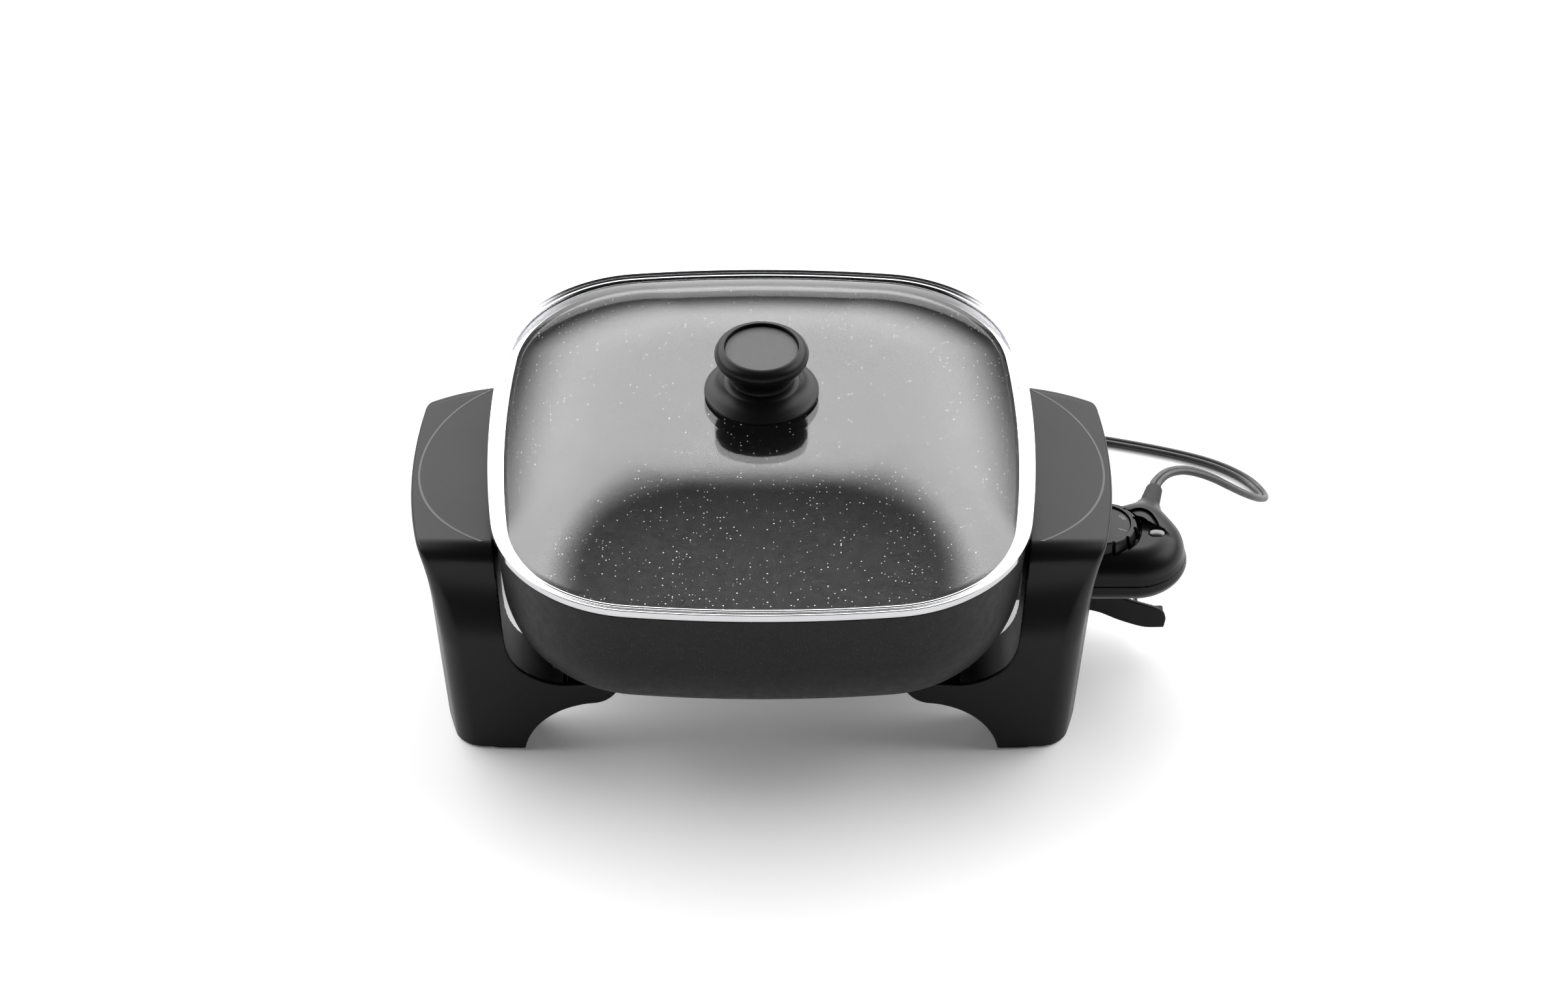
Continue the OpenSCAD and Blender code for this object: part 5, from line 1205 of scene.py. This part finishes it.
# %% Floor, surround and softbox
FLOOR_HALF, FLOOR_GLOW = 6.0, 0.1
BOX_FOOT, BOX_HEAD = (3, 26), (44, 62)     # it fades in and out at these heights, in degrees
BOX_ROUND = (-0.3, 0.05)                   # and over these shares of "straight behind"
BOX_LIGHT, BOX_MIDDLE_LIGHT = 6.0, 5.8     # at its sides, and straight behind
REST_LIGHT = 0.05                          # from everywhere else
floor_mesh = bpy.data.meshes.new("floor")
floor_mesh.from_pydata([(x * FLOOR_HALF, y * FLOOR_HALF, 0)
                        for x, y in ((-1, -1), (1, -1), (1, 1), (-1, 1))], [], [(0, 1, 2, 3)])
floor_finish = Finish("floor", Base_Color=(0.92, 0.92, 0.92, 1), Roughness=0.9,
                      Emission_Color=(1, 1, 1, 1), Emission_Strength=FLOOR_GLOW)
floor_finish.shader.inputs["Specular IOR Level"].default_value = 0.0
floor_mesh.materials.append(floor_finish.material)
floor = bpy.data.objects.new("floor", floor_mesh)
bpy.context.scene.collection.objects.link(floor)

world = bpy.data.worlds.new("surround")
world.use_nodes = True
sky_nodes, sky_links = world.node_tree.nodes, world.node_tree.links
sky_way = sky_nodes.new("ShaderNodeTexCoord").outputs["Generated"]


def sky_part(towards, start, end, low, high):
    """Light that changes from low to high as a direction turns towards an axis."""
    near = sky_nodes.new("ShaderNodeVectorMath")
    near.operation = "DOT_PRODUCT"
    near.inputs[1].default_value = Vector(towards).normalized()
    ramp = sky_nodes.new("ShaderNodeMapRange")
    ramp.interpolation_type = "SMOOTHSTEP"
    for place, value in ((1, start), (2, end), (3, low), (4, high)):
        ramp.inputs[place].default_value = value
    sky_links.new(sky_way, near.inputs[0])
    sky_links.new(near.outputs["Value"], ramp.inputs[0])
    return ramp.outputs[0]


def sky_sum(operation, first, second):
    """One step of arithmetic in the surround; the second may be a plain number."""
    made = sky_nodes.new("ShaderNodeMath")
    made.operation = operation
    sky_links.new(first, made.inputs[0])
    if isinstance(second, float):
        made.inputs[1].default_value = second
    else:
        sky_links.new(second, made.inputs[1])
    return made.outputs[0]


UP, BEHIND = (0, 0, 1), (0, 1, 0)
foot_low, foot_high = (math.sin(math.radians(a)) for a in BOX_FOOT)
head_low, head_high = (math.sin(math.radians(a)) for a in BOX_HEAD)
box_foot = sky_part(UP, foot_low, foot_high, 0.0, 1.0)
box_head = sky_part(UP, head_low, head_high, 1.0, 0.0)
box_round = sky_part(BEHIND, *BOX_ROUND, 0.0, 1.0)
box_light = sky_part(BEHIND, 0.1, 0.55, BOX_LIGHT, BOX_MIDDLE_LIGHT)
soft = sky_sum("MULTIPLY", sky_sum("MULTIPLY", box_foot, box_head),
               sky_sum("MULTIPLY", box_round, box_light))
strength = sky_sum("ADD", soft, REST_LIGHT)
sky_nodes["Background"].inputs["Color"].default_value = (1, 1, 1, 1)
sky_links.new(strength, sky_nodes["Background"].inputs["Strength"])
bpy.context.scene.world = world
bpy.context.scene.view_settings.view_transform = "Standard"
